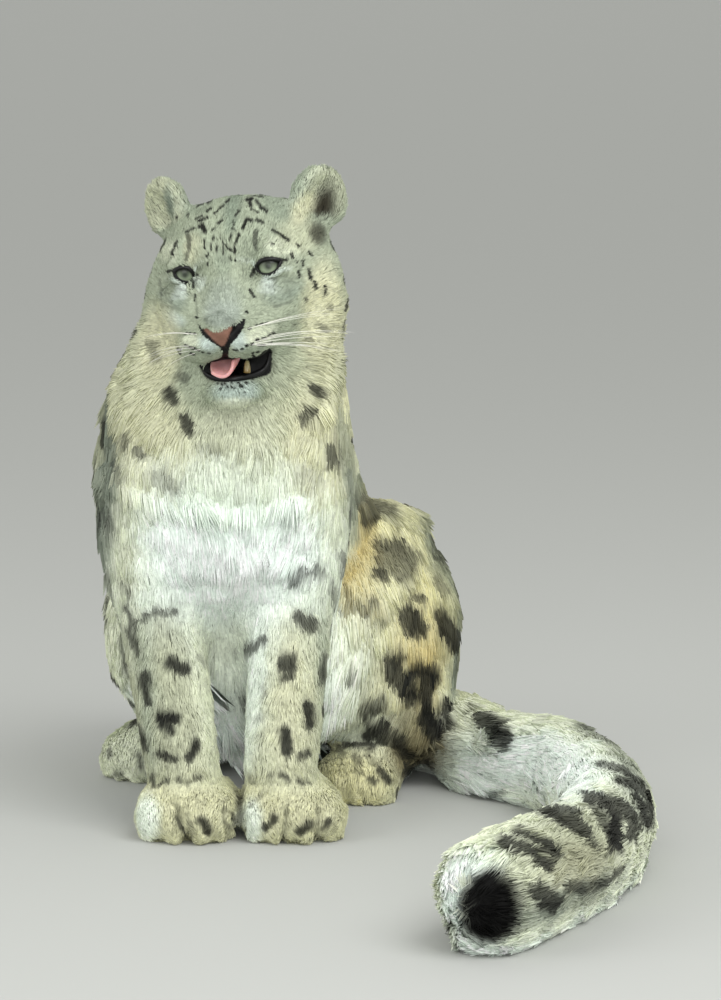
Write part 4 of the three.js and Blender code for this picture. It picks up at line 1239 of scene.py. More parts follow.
skin_material, skin_shader = new_material("skin", Roughness=0.62)
skin_shader.inputs["Specular IOR Level"].default_value = 0.14
skin_grain = coloured_by_attribute(skin_material, skin_shader, *SKIN_GRAIN)
skin_tree = skin_material.node_tree
skin_bump = new_node(skin_tree, "ShaderNodeBump", {"Strength": 0.35, "Distance": 0.0006})
wet = new_node(skin_tree, "ShaderNodeAttribute", attribute_name="wet")
wetness = new_node(skin_tree, "ShaderNodeMapRange", {"To Min": 0.75, "To Max": 0.5})
wire(skin_tree,
     (skin_grain, "Height", skin_bump, "Height"), (skin_bump, "Normal", skin_shader, "Normal"),
     (wet, "Fac", wetness, "Value"), (wetness, "Result", skin_shader, "Roughness"))
print("coat and skin materials")


# %% [markdown]
# The skin is finished: its points and colours are set, and it takes the place of all the flesh solids.

# %% Skin piece
def store(mesh, name, kind, values_of, field):
    """Writes one value per point into a new attribute of the mesh."""
    attribute = mesh.attributes.new(name, kind, "POINT")
    attribute.data.foreach_set(field, np.ascontiguousarray(values_of, np.float32).ravel())


def with_alpha(colour):
    """Colours between 0 and 1 with a fourth value of one."""
    return np.concatenate([np.clip(colour, 0, 1), np.ones((len(colour), 1))], 1)


set_points(skin, points)
store(skin.data, "coat", "FLOAT_COLOR", with_alpha(skin_colour), "color")
store(skin.data, "wet", "FLOAT", bare.astype(float), "value")
skin.data.materials.append(skin_material)
only(skin)
bpy.ops.object.shade_smooth()
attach(skin, "root")
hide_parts(*FLESH)
print("skin in place of", len(FLESH), "solids")


# %% [markdown]
# The coat's bake map. A light copy of the skin is unwrapped by its own shape, and each tuft later takes the
# spot of that map where its root stands.

# %% Unwrap of the skin
MAP_FACES = 9000
MAP_ANGLE = math.radians(66)
MAP_MARGIN = 0.004
TRIANGLES_PER_FACE = 1.5
LEAST_AREA = 1e-12

plan = bpy.data.objects.new("plan", skin.data.copy())
bpy.context.scene.collection.objects.link(plan)
only(plan)
lighter = plan.modifiers.new("lighter", "DECIMATE")
lighter.ratio = MAP_FACES / (len(plan.data.polygons) * TRIANGLES_PER_FACE)
bpy.ops.object.modifier_apply(modifier="lighter")
bpy.ops.object.mode_set(mode="EDIT")
bpy.ops.mesh.select_all(action="SELECT")
bpy.ops.uv.smart_project(angle_limit=MAP_ANGLE, island_margin=MAP_MARGIN)
bpy.ops.object.mode_set(mode="OBJECT")
plan.data.calc_loop_triangles()
plan_corners = read(plan.data.loop_triangles, "vertices", 3, np.int32)
plan_loops = read(plan.data.loop_triangles, "loops", 3, np.int32)
plan_points = get_points(plan)
plan_map = read(plan.data.uv_layers.active.data, "uv", 2)
plan_tree = BVHTree.FromPolygons(plan_points.tolist(), plan_corners.tolist())


def map_spots(roots):
    """Where each root stands on the unwrapped skin."""
    found = [plan_tree.find_nearest(root)[:3:2] for root in roots.tolist()]
    places = np.array([place for place, _ in found])
    face = np.array([index for _, index in found])
    a, b, c = (plan_points[plan_corners[face, corner]] for corner in range(3))
    whole = np.maximum(np.linalg.norm(np.cross(b - a, c - a), axis=1), LEAST_AREA)
    at_a = np.linalg.norm(np.cross(b - places, c - places), axis=1) / whole
    at_b = np.linalg.norm(np.cross(c - places, a - places), axis=1) / whole
    shares = np.stack([at_a, at_b, np.maximum(1 - at_a - at_b, 0)], 1)
    return (plan_map[plan_loops[face]] * shares[:, :, None]).sum(1)


print("unwrapped copy has", len(plan_corners), "triangles")


# %% [markdown]
# Roots of the tufts. Every triangle of the skin gets as many as its area and the spacing there ask for, at
# random places inside it. Bare skin gets none. The random numbers have a fixed seed.

# %% Tuft roots
SEED = 4
DENSITY = 0.885

skin.data.calc_loop_triangles()
corners = read(skin.data.loop_triangles, "vertices", 3, np.int32)
a, b, c = (points[corners[:, corner]] for corner in range(3))
area = np.linalg.norm(np.cross(b - a, c - a), axis=1) / 2
hairy = (~bare).astype(float)
per_area = hairy / (values[:, SPACE] * MM) ** 2 * DENSITY
wanted = area * per_area[corners].mean(1)
rng = np.random.default_rng(SEED)
count = np.floor(wanted + rng.random(len(wanted))).astype(int)
face = np.repeat(np.arange(len(corners)), count)
first = np.sqrt(rng.random(len(face)))
second = rng.random(len(face))
shares = np.stack([1 - first, first * (1 - second), first * second], 1)


def on_roots(per_point):
    """A value of the skin's points carried over to the tufts' roots."""
    return (per_point[corners[face]] * shares[:, :, None]).sum(1)


root = on_roots(points)
root_normal = unit(on_roots(skin_normal))
root_lie = unit(on_roots(lie))
root_values = on_roots(values)
root_base = on_roots(base)
root_node = region[corners[face, 0]]
print("tufts", len(root), "triangles", len(root) * 4)


# %% [markdown]
# A tuft is a thin closed sliver of four points and four faces: a foot, two points across its widest part,
# and a tip. It leaves the skin at the part's angle and bends down along it, and the bend makes it thick.
# Tufts near each other lean their tips together, because long hair hangs in locks.

# %% Tuft shapes
BEND = math.radians(16)
WIDE_AT = 0.42
WAVE = 0.24
WAVE_SIZE = 0.020
WAVE_SEED = 21
STRAY = 0.13
LIFT_SPREAD = 0.16
LIFT_WAVE = 0.18
LIFT_SIZE = 0.016
LIFT_SEED = 22
LONG_SPREAD = 0.10
WIDE_RANGE = (0.7, 1.2)
LOCK_SHARE = 11
LOCK_SPREAD = 0.30
LOCK_LONG = 40.0
LOCK_MOST = 0.45
LOCK_LEAST = 0.14
LOCK_REACH = 0.6
LOCK_BEND = 0.2
ROOT_SINK = 0.8
FLOOR_CLEAR = 0.4

across = np.cross(root_lie, root_normal)
sway = wobble(root, WAVE_SIZE, WAVE_SEED) * WAVE + rng.normal(0, STRAY, len(root))
way = unit(root_lie * np.cos(sway)[:, None] + across * np.sin(sway)[:, None])
across = np.cross(way, root_normal)
lift = np.radians(root_values[:, LIFT]) * rng.normal(1, LIFT_SPREAD, len(root))
lift = lift * (1 + LIFT_WAVE * wobble(root, LIFT_SIZE, LIFT_SEED))
long = root_values[:, LENGTH] * MM * rng.normal(1, LONG_SPREAD, len(root))
wide = root_values[:, WIDTH] * MM * rng.uniform(*WIDE_RANGE, len(root))


def leaving(angle):
    """The direction that rises from the skin by this angle, along each tuft's way."""
    return way * np.cos(angle)[:, None] + root_normal * np.sin(angle)[:, None]


belly_way = leaving(lift + BEND)
tip_way = leaving(lift - BEND)
widest = root + belly_way * (long * WIDE_AT)[:, None]
tip = widest + tip_way * (long * (1 - WIDE_AT))[:, None]
leaders = rng.permutation(len(root))[: len(root) // LOCK_SHARE]
lock_tree = KDTree(len(leaders))
for number, index in enumerate(leaders.tolist()):
    lock_tree.insert(root[index], number)
lock_tree.balance()
leader = leaders[np.array([lock_tree.find(place)[1] for place in root.tolist()])]
meet = tip[leader] + (root - root[leader]) * LOCK_SPREAD
hold = LOCK_LEAST + (LOCK_MOST - LOCK_LEAST) * np.clip(root_values[:, LENGTH] / LOCK_LONG, 0, 1)
hold = hold * (np.linalg.norm(root - root[leader], axis=1) < long * LOCK_REACH)
tip = tip + (meet - tip) * hold[:, None]
widest = widest + (meet - tip) * (hold * LOCK_BEND)[:, None]
half = across * (wide / 2)[:, None]
tufts = np.stack([root - root_normal * ROOT_SINK * MM, widest - half, widest + half, tip], 1)
tufts[:, :, 2] = np.maximum(tufts[:, :, 2], FLOOR_CLEAR * MM)
TUFT_FACES = np.array([(0, 2, 1), (3, 1, 2), (0, 1, 3), (0, 3, 2)])
to_one, to_other, to_tip = (tufts[:, corner] - tufts[:, 0] for corner in (1, 2, 3))
volume = (to_one * np.cross(to_other, to_tip)).sum(1)
turned = volume < 0
tufts[turned] = tufts[turned][:, (0, 2, 1, 3)]
print("tufts turned to face outwards", round(float(turned.mean()), 3))


# %% [markdown]
# Colour of the tufts: the coat's colour where the tuft's middle and tip lie, darker at the foot where no
# light comes, a little paler at the tip, and slightly different from lock to lock.

# %% Tuft colours
FOOT_TONE = 0.66
MIDDLE_TONE = 0.94
TIP_TONE = 1.05
MIDDLE_AT = 0.62
TIP_AT = 0.94
LOCK_TONES = 0.07
TUFT_TONES = 0.08
MOST_PALE = 0.92

middle_colour = coat_colour(root + (tip - root) * MIDDLE_AT, root_base)
tip_colour = coat_colour(root + (tip - root) * TIP_AT, root_base)
lock_tone = rng.normal(1, LOCK_TONES, len(root))[leader] * rng.normal(1, TUFT_TONES, len(root))
point_colour = np.stack([middle_colour * FOOT_TONE, middle_colour * MIDDLE_TONE,
                         middle_colour * MIDDLE_TONE, tip_colour * TIP_TONE], 1)
point_colour = np.clip(point_colour * lock_tone[:, None, None], 0, MOST_PALE)
spots = map_spots(root)
print("tufts coloured")


# %% [markdown]
# The tufts are joined into one mesh for each part of the body. Their shading normals lean towards the
# skin's, which makes the coat look soft and not like splinters. Undersides keep their own normals, because
# with the skin's they would look black where a tuft sticks out past the edge of a leg.

# %% Coat pieces
NORMAL_SOFT = 0.86
PATCH = 0.0015
PATCH_SHAPE = np.array([(0, -1), (-1, 0), (1, 0), (0, 1)]) * PATCH
PIECES = {
    "coat_jaw": ("lower_jaw",), "coat_ears": ("ear",), "coat_neck": ("neck",),
    "coat_chest": ("chest", "shoulder"),
    "coat_foreleg_right": ("foreleg_right", "forepaw_right"),
    "coat_foreleg_left": ("foreleg_left", "forepaw_left"),
    "coat_back": ("back", "rump"), "coat_belly": ("belly",),
    "coat_haunch_right": ("thigh_right", "shin_right", "hindpaw_right"),
    "coat_haunch_left": ("thigh_left", "shin_left", "hindpaw_left"),
    "coat_tail_rear": ("tail_root", "tail_middle"), "coat_tail_front": ("tail_outer", "tail_tip"),
}
FACE_SPLIT = 105.0


def coat_piece(name, chosen):
    """Joins the chosen tufts into one object."""
    number = len(chosen)
    mesh = bpy.data.meshes.new(name)
    flat = tufts[chosen].reshape(-1, 3)
    triangles = (TUFT_FACES[None] + np.arange(number)[:, None, None] * 4).reshape(-1)
    mesh.vertices.add(len(flat))
    mesh.vertices.foreach_set("co", flat.astype(np.float32).ravel())
    mesh.loops.add(len(triangles))
    mesh.loops.foreach_set("vertex_index", triangles.astype(np.int32))
    mesh.polygons.add(len(triangles) // 3)
    mesh.polygons.foreach_set("loop_start", np.arange(0, len(triangles), 3, dtype=np.int32))
    mesh.update(calc_edges=True)
    store(mesh, "coat", "FLOAT_COLOR", with_alpha(point_colour[chosen].reshape(-1, 3)), "color")
    layer = mesh.uv_layers.new(name="OFBake")
    places = (spots[chosen][:, None] + PATCH_SHAPE[None]).reshape(-1, 2)
    layer.data.foreach_set("uv", places[triangles].astype(np.float32).ravel())
    own = read(mesh.vertices, "normal", 3)[triangles]
    flat_normal = np.repeat(read(mesh.polygons, "normal", 3), 3, axis=0)
    soft = np.repeat(root_normal[chosen], len(TUFT_FACES) * 3, axis=0)
    shading = unit(own * (1 - NORMAL_SOFT) + soft * NORMAL_SOFT)
    under_side = (flat_normal * soft).sum(1) < 0
    shading[under_side] = flat_normal[under_side]
    mesh.polygons.foreach_set("use_smooth", np.ones(len(mesh.polygons), bool))
    mesh.normals_split_custom_set(shading.astype(np.float32))
    mesh.materials.append(coat_material)
    made = bpy.data.objects.new(name, mesh)
    bpy.context.scene.collection.objects.link(made)
    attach(made, "root")
    print(name, len(mesh.polygons), "triangles")
    return made


node_names = np.array(FLESH)[root_node]
in_face = from_point(root, FACE_CENTRE) < FACE_SPLIT
is_head = node_names == "head"
coat_piece("coat_face", np.flatnonzero(is_head & in_face))
coat_piece("coat_crown", np.flatnonzero(is_head & ~in_face))
for piece, starts in PIECES.items():
    member = np.zeros(len(root), bool)
    for start in starts:
        member |= np.char.startswith(node_names, start)
    coat_piece(piece, np.flatnonzero(member))
bpy.data.objects.remove(plan)


# %% [markdown]
# Eyeballs. A snow leopard's iris is pale grey-green with a round pupil, and nearly fills the opening.
# The ball is a sphere whose pole looks where the eye looks, with the cornea raised a little over the iris.
# The colour comes from the distance to the line of sight, in the eye's own Object coordinates, and its
# upper part is darker, because the upper lid shades it.

# %% Eyes
IRIS_REACH = 0.70
CORNEA_RISE = 0.9
LID_SHADE_FROM = 0.28
LID_SHADE_TO = 0.8
LID_SHADE_TONE = 0.05
FIBRE_SHIFT = 0.045
BALL_RIM = 0.999
IRIS_STOPS = (
    (0.0, (58, 64, 54)), (0.1, (66, 73, 62)), (0.24, (112, 122, 104)), (0.38, (140, 152, 128)),
    (0.56, (134, 147, 122)), (0.68, (62, 70, 58)), (0.75, (12, 12, 12)), (1.0, (14, 12, 12)),
)


def sight_of(side):
    """The direction in which an eye looks, from the iris's photo pixel."""
    ray = pixel_ray(*IRIS_PIXEL[side])
    to_eye = EYE[side] - CAMERA_PLACE
    along = to_eye.dot(ray)
    off = (to_eye - ray * along).length
    front = CAMERA_PLACE + ray * (along - math.sqrt(EYE_RADIUS ** 2 - off ** 2))
    return (front - EYE[side]).normalized()


def on_ball(side, u, v, out):
    """Where a photo pixel meets the eyeball, out millimetres over its surface."""
    ray = pixel_ray(u, v)
    to_eye = EYE[side] - CAMERA_PLACE
    along = to_eye.dot(ray)
    reach = EYE_RADIUS + out * MM
    off = min((to_eye - ray * along).length, reach * BALL_RIM)
    return CAMERA_PLACE + ray * (along - math.sqrt(reach ** 2 - off ** 2))


def opening_heights(side):
    """The lowest and highest place of an eye's opening on its ball."""
    heights = [on_ball(side, u, v, 0.0).z for u, v in EYE_OPENING[side]]
    return min(heights), max(heights)


def eye_material(side, turn):
    """The colours of one eyeball, in rings round its line of sight."""
    material, shader = new_material("eye_" + side, Roughness=0.35, Coat_Weight=0.12, Coat_Roughness=0.05)
    shader.inputs["Specular IOR Level"].default_value = 0.2
    tree = material.node_tree
    place = new_node(tree, "ShaderNodeTexCoord")
    centred = new_node(tree, "ShaderNodeMapping", vector_type="TEXTURE")
    centred.inputs["Location"].default_value = EYE[side]
    centred.inputs["Rotation"].default_value = turn.to_euler()
    centred.inputs["Scale"].default_value = (EYE_RADIUS,) * 3
    split = new_node(tree, "ShaderNodeSeparateXYZ")
    flat = new_node(tree, "ShaderNodeCombineXYZ")
    reach = new_node(tree, "ShaderNodeVectorMath", operation="LENGTH")
    fibres = new_node(tree, "ShaderNodeTexNoise", {"Scale": 9.0, "Detail": 4.0, "Roughness": 0.7})
    shift = new_node(tree, "ShaderNodeMapRange", {"To Min": -FIBRE_SHIFT, "To Max": FIBRE_SHIFT})
    plus = new_node(tree, "ShaderNodeMath", operation="ADD")
    ramp = new_node(tree, "ShaderNodeValToRGB")
    set_stops(ramp, *IRIS_STOPS)
    level = new_node(tree, "ShaderNodeSeparateXYZ")
    lid_shade = new_node(tree, "ShaderNodeMapRange", {"To Min": 1.0, "To Max": LID_SHADE_TONE})
    lowest, highest = opening_heights(side)
    lid_shade.inputs["From Min"].default_value = lowest + LID_SHADE_FROM * (highest - lowest)
    lid_shade.inputs["From Max"].default_value = lowest + LID_SHADE_TO * (highest - lowest)
    shaded = new_node(tree, "ShaderNodeVectorMath", operation="SCALE")
    wire(tree,
         (place, "Object", centred, "Vector"), (centred, "Vector", split, "Vector"),
         (split, "X", flat, "X"), (split, "Y", flat, "Y"), (flat, "Vector", reach, 0),
         (centred, "Vector", fibres, "Vector"), (fibres, "Fac", shift, "Value"),
         (reach, "Value", plus, 0), (shift, "Result", plus, 1), (plus, "Value", ramp, "Fac"),
         (place, "Object", level, "Vector"), (level, "Z", lid_shade, "Value"),
         (ramp, "Color", shaded, "Vector"), (lid_shade, "Result", shaded, "Scale"),
         (shaded, "Vector", shader, "Base Color"))
    return material


def make_eye(side):
    """One eyeball with its raised cornea."""
    sight = sight_of(side)
    turn = sight.to_track_quat("Z", "Y")
    bpy.ops.object.select_all(action="DESELECT")
    bpy.ops.mesh.primitive_uv_sphere_add(segments=48, ring_count=32, radius=EYE_RADIUS,
                                         location=EYE[side], rotation=turn.to_euler())
    ball = bpy.context.object
    ball.name = "eyeball_" + side
    bpy.ops.object.transform_apply(location=True, rotation=True, scale=True)
    ball_points = get_points(ball)
    ray = unit(ball_points - np.array(EYE[side]))
    rise = smooth_step(math.cos(math.asin(IRIS_REACH)), 1.0, ray @ np.array(sight))
    set_points(ball, ball_points + ray * (rise * CORNEA_RISE * MM)[:, None])
    bpy.ops.object.shade_smooth()
    ball.data.materials.append(eye_material(side, turn))
    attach(ball, "root")
    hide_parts("eye_" + side)
    return ball


for eye_side in EYE:
    make_eye(eye_side)
print("eyes made")


# %% [markdown]
# Lid rims. The edge of each lid is black, bare and wet. It is a thin tube along the opening, lying on the
# eyeball, made from a closed curve with a round bevel.

# %% Lid rims
RIM_THICK = 2.0
RIM_OUT = 1.3
UPPER_RIM = 1.1
LOWER_RIM = 0.5
RIM_RISE = (0.25, 0.85)

rim_material, rim_shader = new_material("wet_rim", Roughness=0.4)
rim_shader.inputs["Specular IOR Level"].default_value = 0.3
rim_shader.inputs["Base Color"].default_value = (*linear(COLOURS["lip"]), 1.0)
rim_tree = rim_material.node_tree
rim_noise = new_node(rim_tree, "ShaderNodeTexNoise", {"Scale": 900.0})
rim_bump = new_node(rim_tree, "ShaderNodeBump", {"Strength": 0.3, "Distance": 0.0003})
rim_place = new_node(rim_tree, "ShaderNodeTexCoord")
wire(rim_tree,
     (rim_place, "Object", rim_noise, "Vector"), (rim_noise, "Fac", rim_bump, "Height"),
     (rim_bump, "Normal", rim_shader, "Normal"))


def tube(name, paths, thick, cyclic=False, resolution=3):
    """A mesh of round tubes along paths of points, each with its share of the thickness."""
    curve = bpy.data.curves.new(name, "CURVE")
    curve.dimensions = "3D"
    curve.bevel_depth = thick * MM
    curve.bevel_resolution = resolution
    curve.use_fill_caps = not cyclic
    for path, shares_of in paths:
        spline = curve.splines.new("POLY")
        spline.points.add(len(path) - 1)
        for point, place, share in zip(spline.points, path, shares_of):
            point.co = (*place, 1.0)
            point.radius = share
        spline.use_cyclic_u = cyclic
    made = bpy.data.objects.new(name, curve)
    bpy.context.scene.collection.objects.link(made)
    only(made)
    bpy.ops.object.convert(target="MESH")
    made = bpy.context.object
    bpy.ops.object.shade_smooth()
    return made


for eye_side, eye_corners in EYE_OPENING.items():
    loop = [on_ball(eye_side, u, v, RIM_OUT) for u, v in smooth_loop(eye_corners)]
    low_z, high_z = opening_heights(eye_side)
    rises = smooth_step(*RIM_RISE, (np.array([place.z for place in loop]) - low_z) / (high_z - low_z))
    rim_shares = LOWER_RIM + (UPPER_RIM - LOWER_RIM) * rises
    rim = tube("lid_rim_" + eye_side, [(loop, rim_shares)], RIM_THICK, cyclic=True)
    rim.data.materials.append(rim_material)
    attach(rim, "root")
print("lid rims made")


# %% [markdown]
# The tongue is a soft flat muscle. Here its front is hollowed like a scoop and its left edge curls up
# behind the lower canine. A grid is bent into that shape, thickened and smoothed.

# %% Tongue
TONGUE_WIDE = 35.0
TONGUE_LONG = 46.0
TONGUE_THICK = 4.0
TONGUE_TIP = (-3.0, -44.0, -109.5)
TONGUE_RISE = 21.0
TONGUE_CUTS = 20
TIP_ROUND = 0.55
TIP_POWER = 5
TIP_LEAST = 0.2
SIDES_BACK = 7.0
CURL_LEFT = 15.0
CURL_RIGHT = 5.0
CURL_FLATTER = 0.25
FOLD_FROM = 0.55
FOLD_IN = 9.0
TONGUE_ROUNDS = 2
TONGUE_STOPS = ((0.3, (206, 140, 138)), (0.75, (240, 176, 174)))

bpy.ops.object.select_all(action="DESELECT")
bpy.ops.mesh.primitive_grid_add(x_subdivisions=TONGUE_CUTS, y_subdivisions=TONGUE_CUTS, size=1.0)
tongue = bpy.context.object
tongue.name = "curled_tongue"
flat = get_points(tongue)
side_way, back_way = flat[:, 0] * 2, flat[:, 1] + 0.5
rounded = np.sqrt(np.clip(1 - ((1 - back_way) ** TIP_POWER) * TIP_ROUND, TIP_LEAST, 1))
tongue_x = side_way * TONGUE_WIDE / 2 * rounded
tongue_y = back_way * TONGUE_LONG + (side_way ** 2) * SIDES_BACK * (1 - back_way)
curl = np.maximum(side_way, 0) ** 2 * CURL_LEFT + np.maximum(-side_way, 0) ** 2 * CURL_RIGHT
tongue_z = curl * (1 - CURL_FLATTER * back_way) + back_way * TONGUE_RISE
tongue_x = tongue_x - np.maximum(side_way - FOLD_FROM, 0) ** 1.5 * FOLD_IN
placed = np.stack([tongue_x, tongue_y, tongue_z], 1) + np.array(TONGUE_TIP)
set_points(tongue, placed @ HEAD_AXES * MM + np.array(HEAD_AT))
thicken = tongue.modifiers.new("thicken", "SOLIDIFY")
thicken.thickness = TONGUE_THICK * MM
thicken.offset = -1.0
rounder = tongue.modifiers.new("rounder", "SUBSURF")
rounder.levels = TONGUE_ROUNDS
rounder.render_levels = TONGUE_ROUNDS
only(tongue)
bpy.ops.object.modifier_apply(modifier="thicken")
bpy.ops.object.modifier_apply(modifier="rounder")
bpy.ops.object.shade_smooth()
tongue_material, tongue_shader = new_material("tongue", Roughness=0.38, Subsurface_Weight=0.15)
tongue_tree = tongue_material.node_tree
tongue_place = new_node(tongue_tree, "ShaderNodeTexCoord")
tongue_noise = new_node(tongue_tree, "ShaderNodeTexNoise", {"Scale": 90.0, "Detail": 3.0})
tongue_ramp = new_node(tongue_tree, "ShaderNodeValToRGB")
set_stops(tongue_ramp, *TONGUE_STOPS)
papillae = new_node(tongue_tree, "ShaderNodeTexVoronoi", {"Scale": 900.0})
tongue_bump = new_node(tongue_tree, "ShaderNodeBump", {"Strength": 0.4, "Distance": 0.0004})
wire(tongue_tree,
     (tongue_place, "Object", tongue_noise, "Vector"), (tongue_place, "Object", papillae, "Vector"),
     (tongue_noise, "Fac", tongue_ramp, "Fac"), (tongue_ramp, "Color", tongue_shader, "Base Color"),
     (papillae, "Distance", tongue_bump, "Height"), (tongue_bump, "Normal", tongue_shader, "Normal"))
tongue.data.materials.append(tongue_material)
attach(tongue, "root")
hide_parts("tongue")
print("tongue", len(tongue.data.polygons), "faces")


# %% [markdown]
# The lower lip is a black wet roll along the edge of the jaw. It hides the foot of the tooth. It is a thick
# tube laid along photo pixels, as deep as the jaw's front just outside it.

# %% Lower lip
LIP_PIXELS = ((200.5, 366), (205, 373), (213, 378), (225, 379.6), (239, 378.4), (253, 375.6), (263, 371),
              (268.5, 363), (270, 353))
LIP_SHARES = (0.35, 0.7, 0.9, 1.0, 1.0, 1.0, 1.0, 0.8, 0.45)
LIP_THICK = 3.8
LIP_STEP_OUT = 5.0
LIP_BACK = 3.0
MOUTH_PIXEL = np.array((236.0, 366.0))


def lip_place(pixel):
    """A lip pixel at the depth of the coat just outside it."""
    outwards = unit(np.array(pixel) - MOUTH_PIXEL)
    hit = photo_hit(*(np.array(pixel) + outwards * LIP_STEP_OUT))
    return CAMERA_PLACE + pixel_ray(*pixel) * ((hit - CAMERA_PLACE).length + LIP_BACK * MM)


lip_path = [lip_place(pixel) for pixel in LIP_PIXELS]
lower_lip = tube("lower_lip", [(lip_path, LIP_SHARES)], LIP_THICK, resolution=4)
lip_rounder = lower_lip.modifiers.new("rounder", "SUBSURF")
lip_rounder.levels = 2
only(lower_lip)
bpy.ops.object.modifier_apply(modifier="rounder")
bpy.ops.object.shade_smooth()
lower_lip.data.materials.append(rim_material)
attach(lower_lip, "root")
print("lower lip", len(lower_lip.data.polygons), "faces")


# %% [markdown]
# The lower canine is a slightly hooked cone, cream at the tip and darker brown towards the gum.

# %% Canine
TOOTH_HOOK = 1.6
TOOTH_FOOT = 3.7
TOOTH_POINT = 1.7
TOOTH_CUTS = 5
TOOTH_SWELL = 0.25
TOOTH_STOPS = ((0.0, (116, 92, 44)), (1.0, (158, 150, 108)))
TOOTH_SHARE = 0.74
TOOTH_UP = 6.0
TOOTH_BACK = 3.0

tooth_low, tooth_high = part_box("canine")
tooth_centre = (tooth_low + tooth_high) / 2
tooth_tall = (tooth_high.z - tooth_low.z) * TOOTH_SHARE
tooth_centre.z = tooth_low.z + tooth_tall / 2
tooth_centre += head_up * TOOTH_UP * MM + head_back * TOOTH_BACK * MM
tooth_foot = tooth_centre.z - tooth_tall / 2
bpy.ops.object.select_all(action="DESELECT")
bpy.ops.mesh.primitive_cone_add(vertices=24, radius1=TOOTH_FOOT * MM, radius2=TOOTH_POINT * MM,
                                depth=tooth_tall, location=tooth_centre)
tooth = bpy.context.object
tooth.name = "lower_canine"
bpy.ops.object.transform_apply(location=True, rotation=True, scale=True)
bpy.ops.object.mode_set(mode="EDIT")
bpy.ops.mesh.select_all(action="SELECT")
bpy.ops.mesh.subdivide(number_cuts=TOOTH_CUTS)
bpy.ops.object.mode_set(mode="OBJECT")
tooth_points = get_points(tooth)
tooth_share = (tooth_points[:, 2] - tooth_foot) / tooth_tall
swell = 1 + TOOTH_SWELL * np.sin(np.clip(tooth_share, 0, 1) * math.pi)
tooth_axis = np.array(tooth_centre.xy)
tooth_points[:, :2] = tooth_axis + (tooth_points[:, :2] - tooth_axis) * swell[:, None]
tooth_points[:, 1] += tooth_share ** 2 * TOOTH_HOOK * MM
set_points(tooth, tooth_points)
bpy.ops.object.shade_smooth()
tooth_material, tooth_shader = new_material("tooth", Roughness=0.3, Coat_Weight=0.4)
tooth_tree = tooth_material.node_tree
tooth_place = new_node(tooth_tree, "ShaderNodeTexCoord")
tooth_split = new_node(tooth_tree, "ShaderNodeSeparateXYZ")
tooth_range = new_node(tooth_tree, "ShaderNodeMapRange",
                       {"From Min": tooth_foot, "From Max": tooth_foot + tooth_tall})
tooth_ramp = new_node(tooth_tree, "ShaderNodeValToRGB")
set_stops(tooth_ramp, *TOOTH_STOPS)
wire(tooth_tree,
     (tooth_place, "Object", tooth_split, "Vector"), (tooth_split, "Z", tooth_range, "Value"),
     (tooth_range, "Result", tooth_ramp, "Fac"), (tooth_ramp, "Color", tooth_shader, "Base Color"))
tooth.data.materials.append(tooth_material)
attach(tooth, "root")
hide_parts("canine")
print("canine", round(tooth_tall / MM, 1), "mm tall")


# %% [markdown]
# Whiskers are long stiff white hairs in rows on the pads beside the nose.
# Each is a tapering tube along a curve that leaves its pad sideways and droops.

# %% Whiskers
WHISKER_THICK = 0.36
WHISKER_POINTS = 14
WHISKER_SUNK = 4.0
WHISKER_END = 0.12
WHISKER_STOPS = ((0.0, (206, 204, 190)), (1.0, (246, 246, 240)))
# root u and v, sideways, back, up, length in mm, droop in mm
WHISKERS = (
    (250, 328, 1.0, 0.35, 0.18, 95, 10), (257, 326, 1.0, 0.45, 0.24, 100, 12),
    (263, 324.5, 1.0, 0.55, 0.22, 90, 14), (248, 345.5, 1.0, 0.25, 0.05, 98, 12),
    (253, 344, 1.0, 0.35, 0.12, 105, 14), (258, 341, 1.0, 0.45, 0.14, 110, 16),
    (264.5, 338.6, 1.0, 0.6, 0.16, 104, 18), (269.5, 336, 1.0, 0.7, 0.12, 96, 18),
    (259, 345.5, 1.0, 0.35, -0.02, 92, 14), (264, 345, 1.0, 0.5, 0.0, 88, 16),
    (270, 343.5, 1.0, 0.6, -0.05, 80, 18), (194, 334, -1.0, 0.5, 0.10, 74, 10),
    (190, 333.7, -1.0, 0.6, 0.14, 70, 12), (186, 333.7, -1.0, 0.7, 0.12, 64, 12),
    (197, 350, -1.0, 0.35, -0.06, 70, 10), (191, 348, -1.0, 0.5, -0.02, 74, 12),
    (186, 346, -1.0, 0.6, 0.0, 70, 14), (180, 350, -1.0, 0.7, -0.1, 60, 14),
    (192, 354, -1.0, 0.5, -0.2, 52, 12),
)


def whisker(row):
    """One whisker's path and its share of the thickness along it."""
    u, v, sideways, back, rise, long_mm, droop = row
    start = photo_hit(u, v)
    way_out = (head_x * sideways + head_back * back + head_up * rise).normalized()
    path = []
    for t in np.linspace(0, 1, WHISKER_POINTS):
        sag = Vector((0, 0, -droop * t ** 2 * MM))
        path.append(start + way_out * (long_mm * t - WHISKER_SUNK) * MM + sag)
    return path, np.linspace(1, WHISKER_END, WHISKER_POINTS)


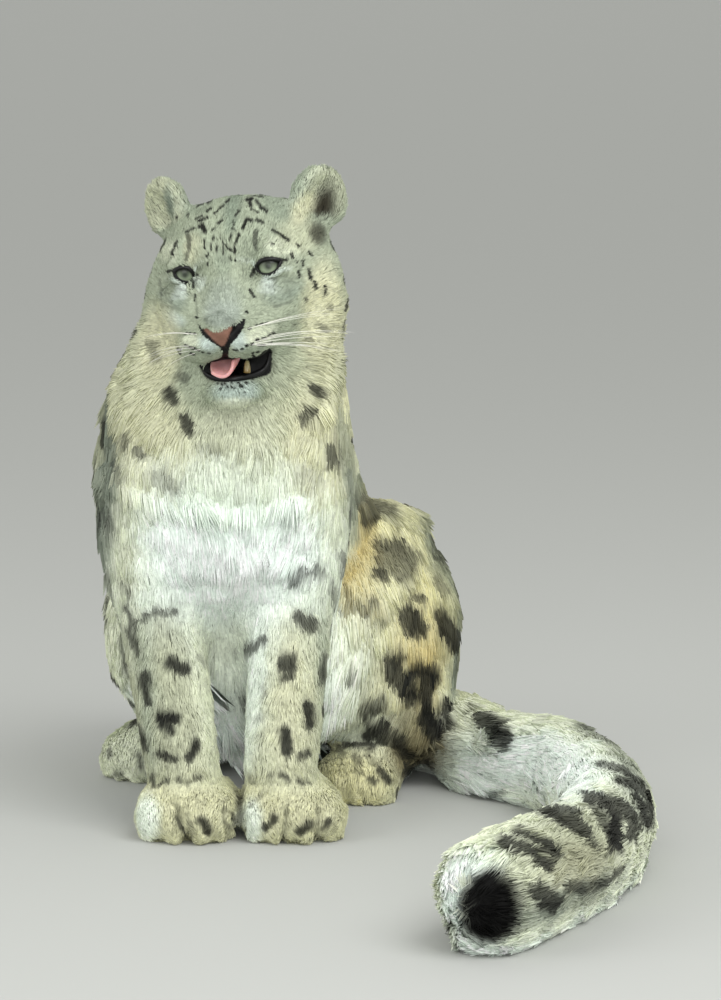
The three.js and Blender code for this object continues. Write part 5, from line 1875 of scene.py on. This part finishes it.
whiskers = tube("whiskers", [whisker(row) for row in WHISKERS], WHISKER_THICK, resolution=1)
whisker_material, whisker_shader = new_material("whisker", Roughness=0.4)
whisker_tree = whisker_material.node_tree
whisker_place = new_node(whisker_tree, "ShaderNodeTexCoord")
whisker_noise = new_node(whisker_tree, "ShaderNodeTexNoise", {"Scale": 60.0})
whisker_ramp = new_node(whisker_tree, "ShaderNodeValToRGB")
set_stops(whisker_ramp, *WHISKER_STOPS)
wire(whisker_tree,
     (whisker_place, "Object", whisker_noise, "Vector"), (whisker_noise, "Fac", whisker_ramp, "Fac"),
     (whisker_ramp, "Color", whisker_shader, "Base Color"))
whiskers.data.materials.append(whisker_material)
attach(whiskers, "root")
print("whiskers", len(WHISKERS))


# %% [markdown]
# A plain pale floor and three soft panels of light: the strongest above and to the right, a weaker one low in
# front, and the weakest on the left. A pale surrounding light adds to them, as under an overcast sky.

# %% Floor and light
FLOOR_SIZE = 600.0
FLOOR_COLOUR = (0.46, 0.47, 0.45, 1.0)
SKY_COLOUR = (0.93, 0.935, 0.91, 1.0)
SKY_STRENGTH = 0.82

bpy.ops.object.select_all(action="DESELECT")
bpy.ops.mesh.primitive_plane_add(size=FLOOR_SIZE, location=(0, 0, 0))
floor = bpy.context.object
floor.name = "floor"
floor_material, floor_shader = new_material("floor", Roughness=0.9)
floor_shader.inputs["Base Color"].default_value = FLOOR_COLOUR
floor.data.materials.append(floor_material)


def panel(name, place, target, size, power):
    """A square light, its size in metres and its power in watts."""
    light = bpy.data.lights.new(name, "AREA")
    light.shape = "SQUARE"
    light.size = size
    light.energy = power
    lamp = bpy.data.objects.new(name, light)
    lamp.location = place
    lamp.rotation_euler = (Vector(target) - Vector(place)).to_track_quat("-Z", "Y").to_euler()
    bpy.context.scene.collection.objects.link(lamp)


panel("panel_high", (1.5, -2.3, 3.0), (0.05, -0.3, 0.3), 2.4, 82)
panel("panel_side", (-2.6, -1.8, 1.6), (0.05, -0.3, 0.3), 2.0, 26)
panel("panel_front", (0.2, -3.6, 0.5), (0.0, -0.3, 0.3), 1.8, 44)
world = bpy.data.worlds.new("surroundings")
world.use_nodes = True
world.node_tree.nodes["Background"].inputs["Color"].default_value = SKY_COLOUR
world.node_tree.nodes["Background"].inputs["Strength"].default_value = SKY_STRENGTH
bpy.context.scene.world = world
bpy.context.scene.view_settings.view_transform = "Standard"
print("floor and lights placed")
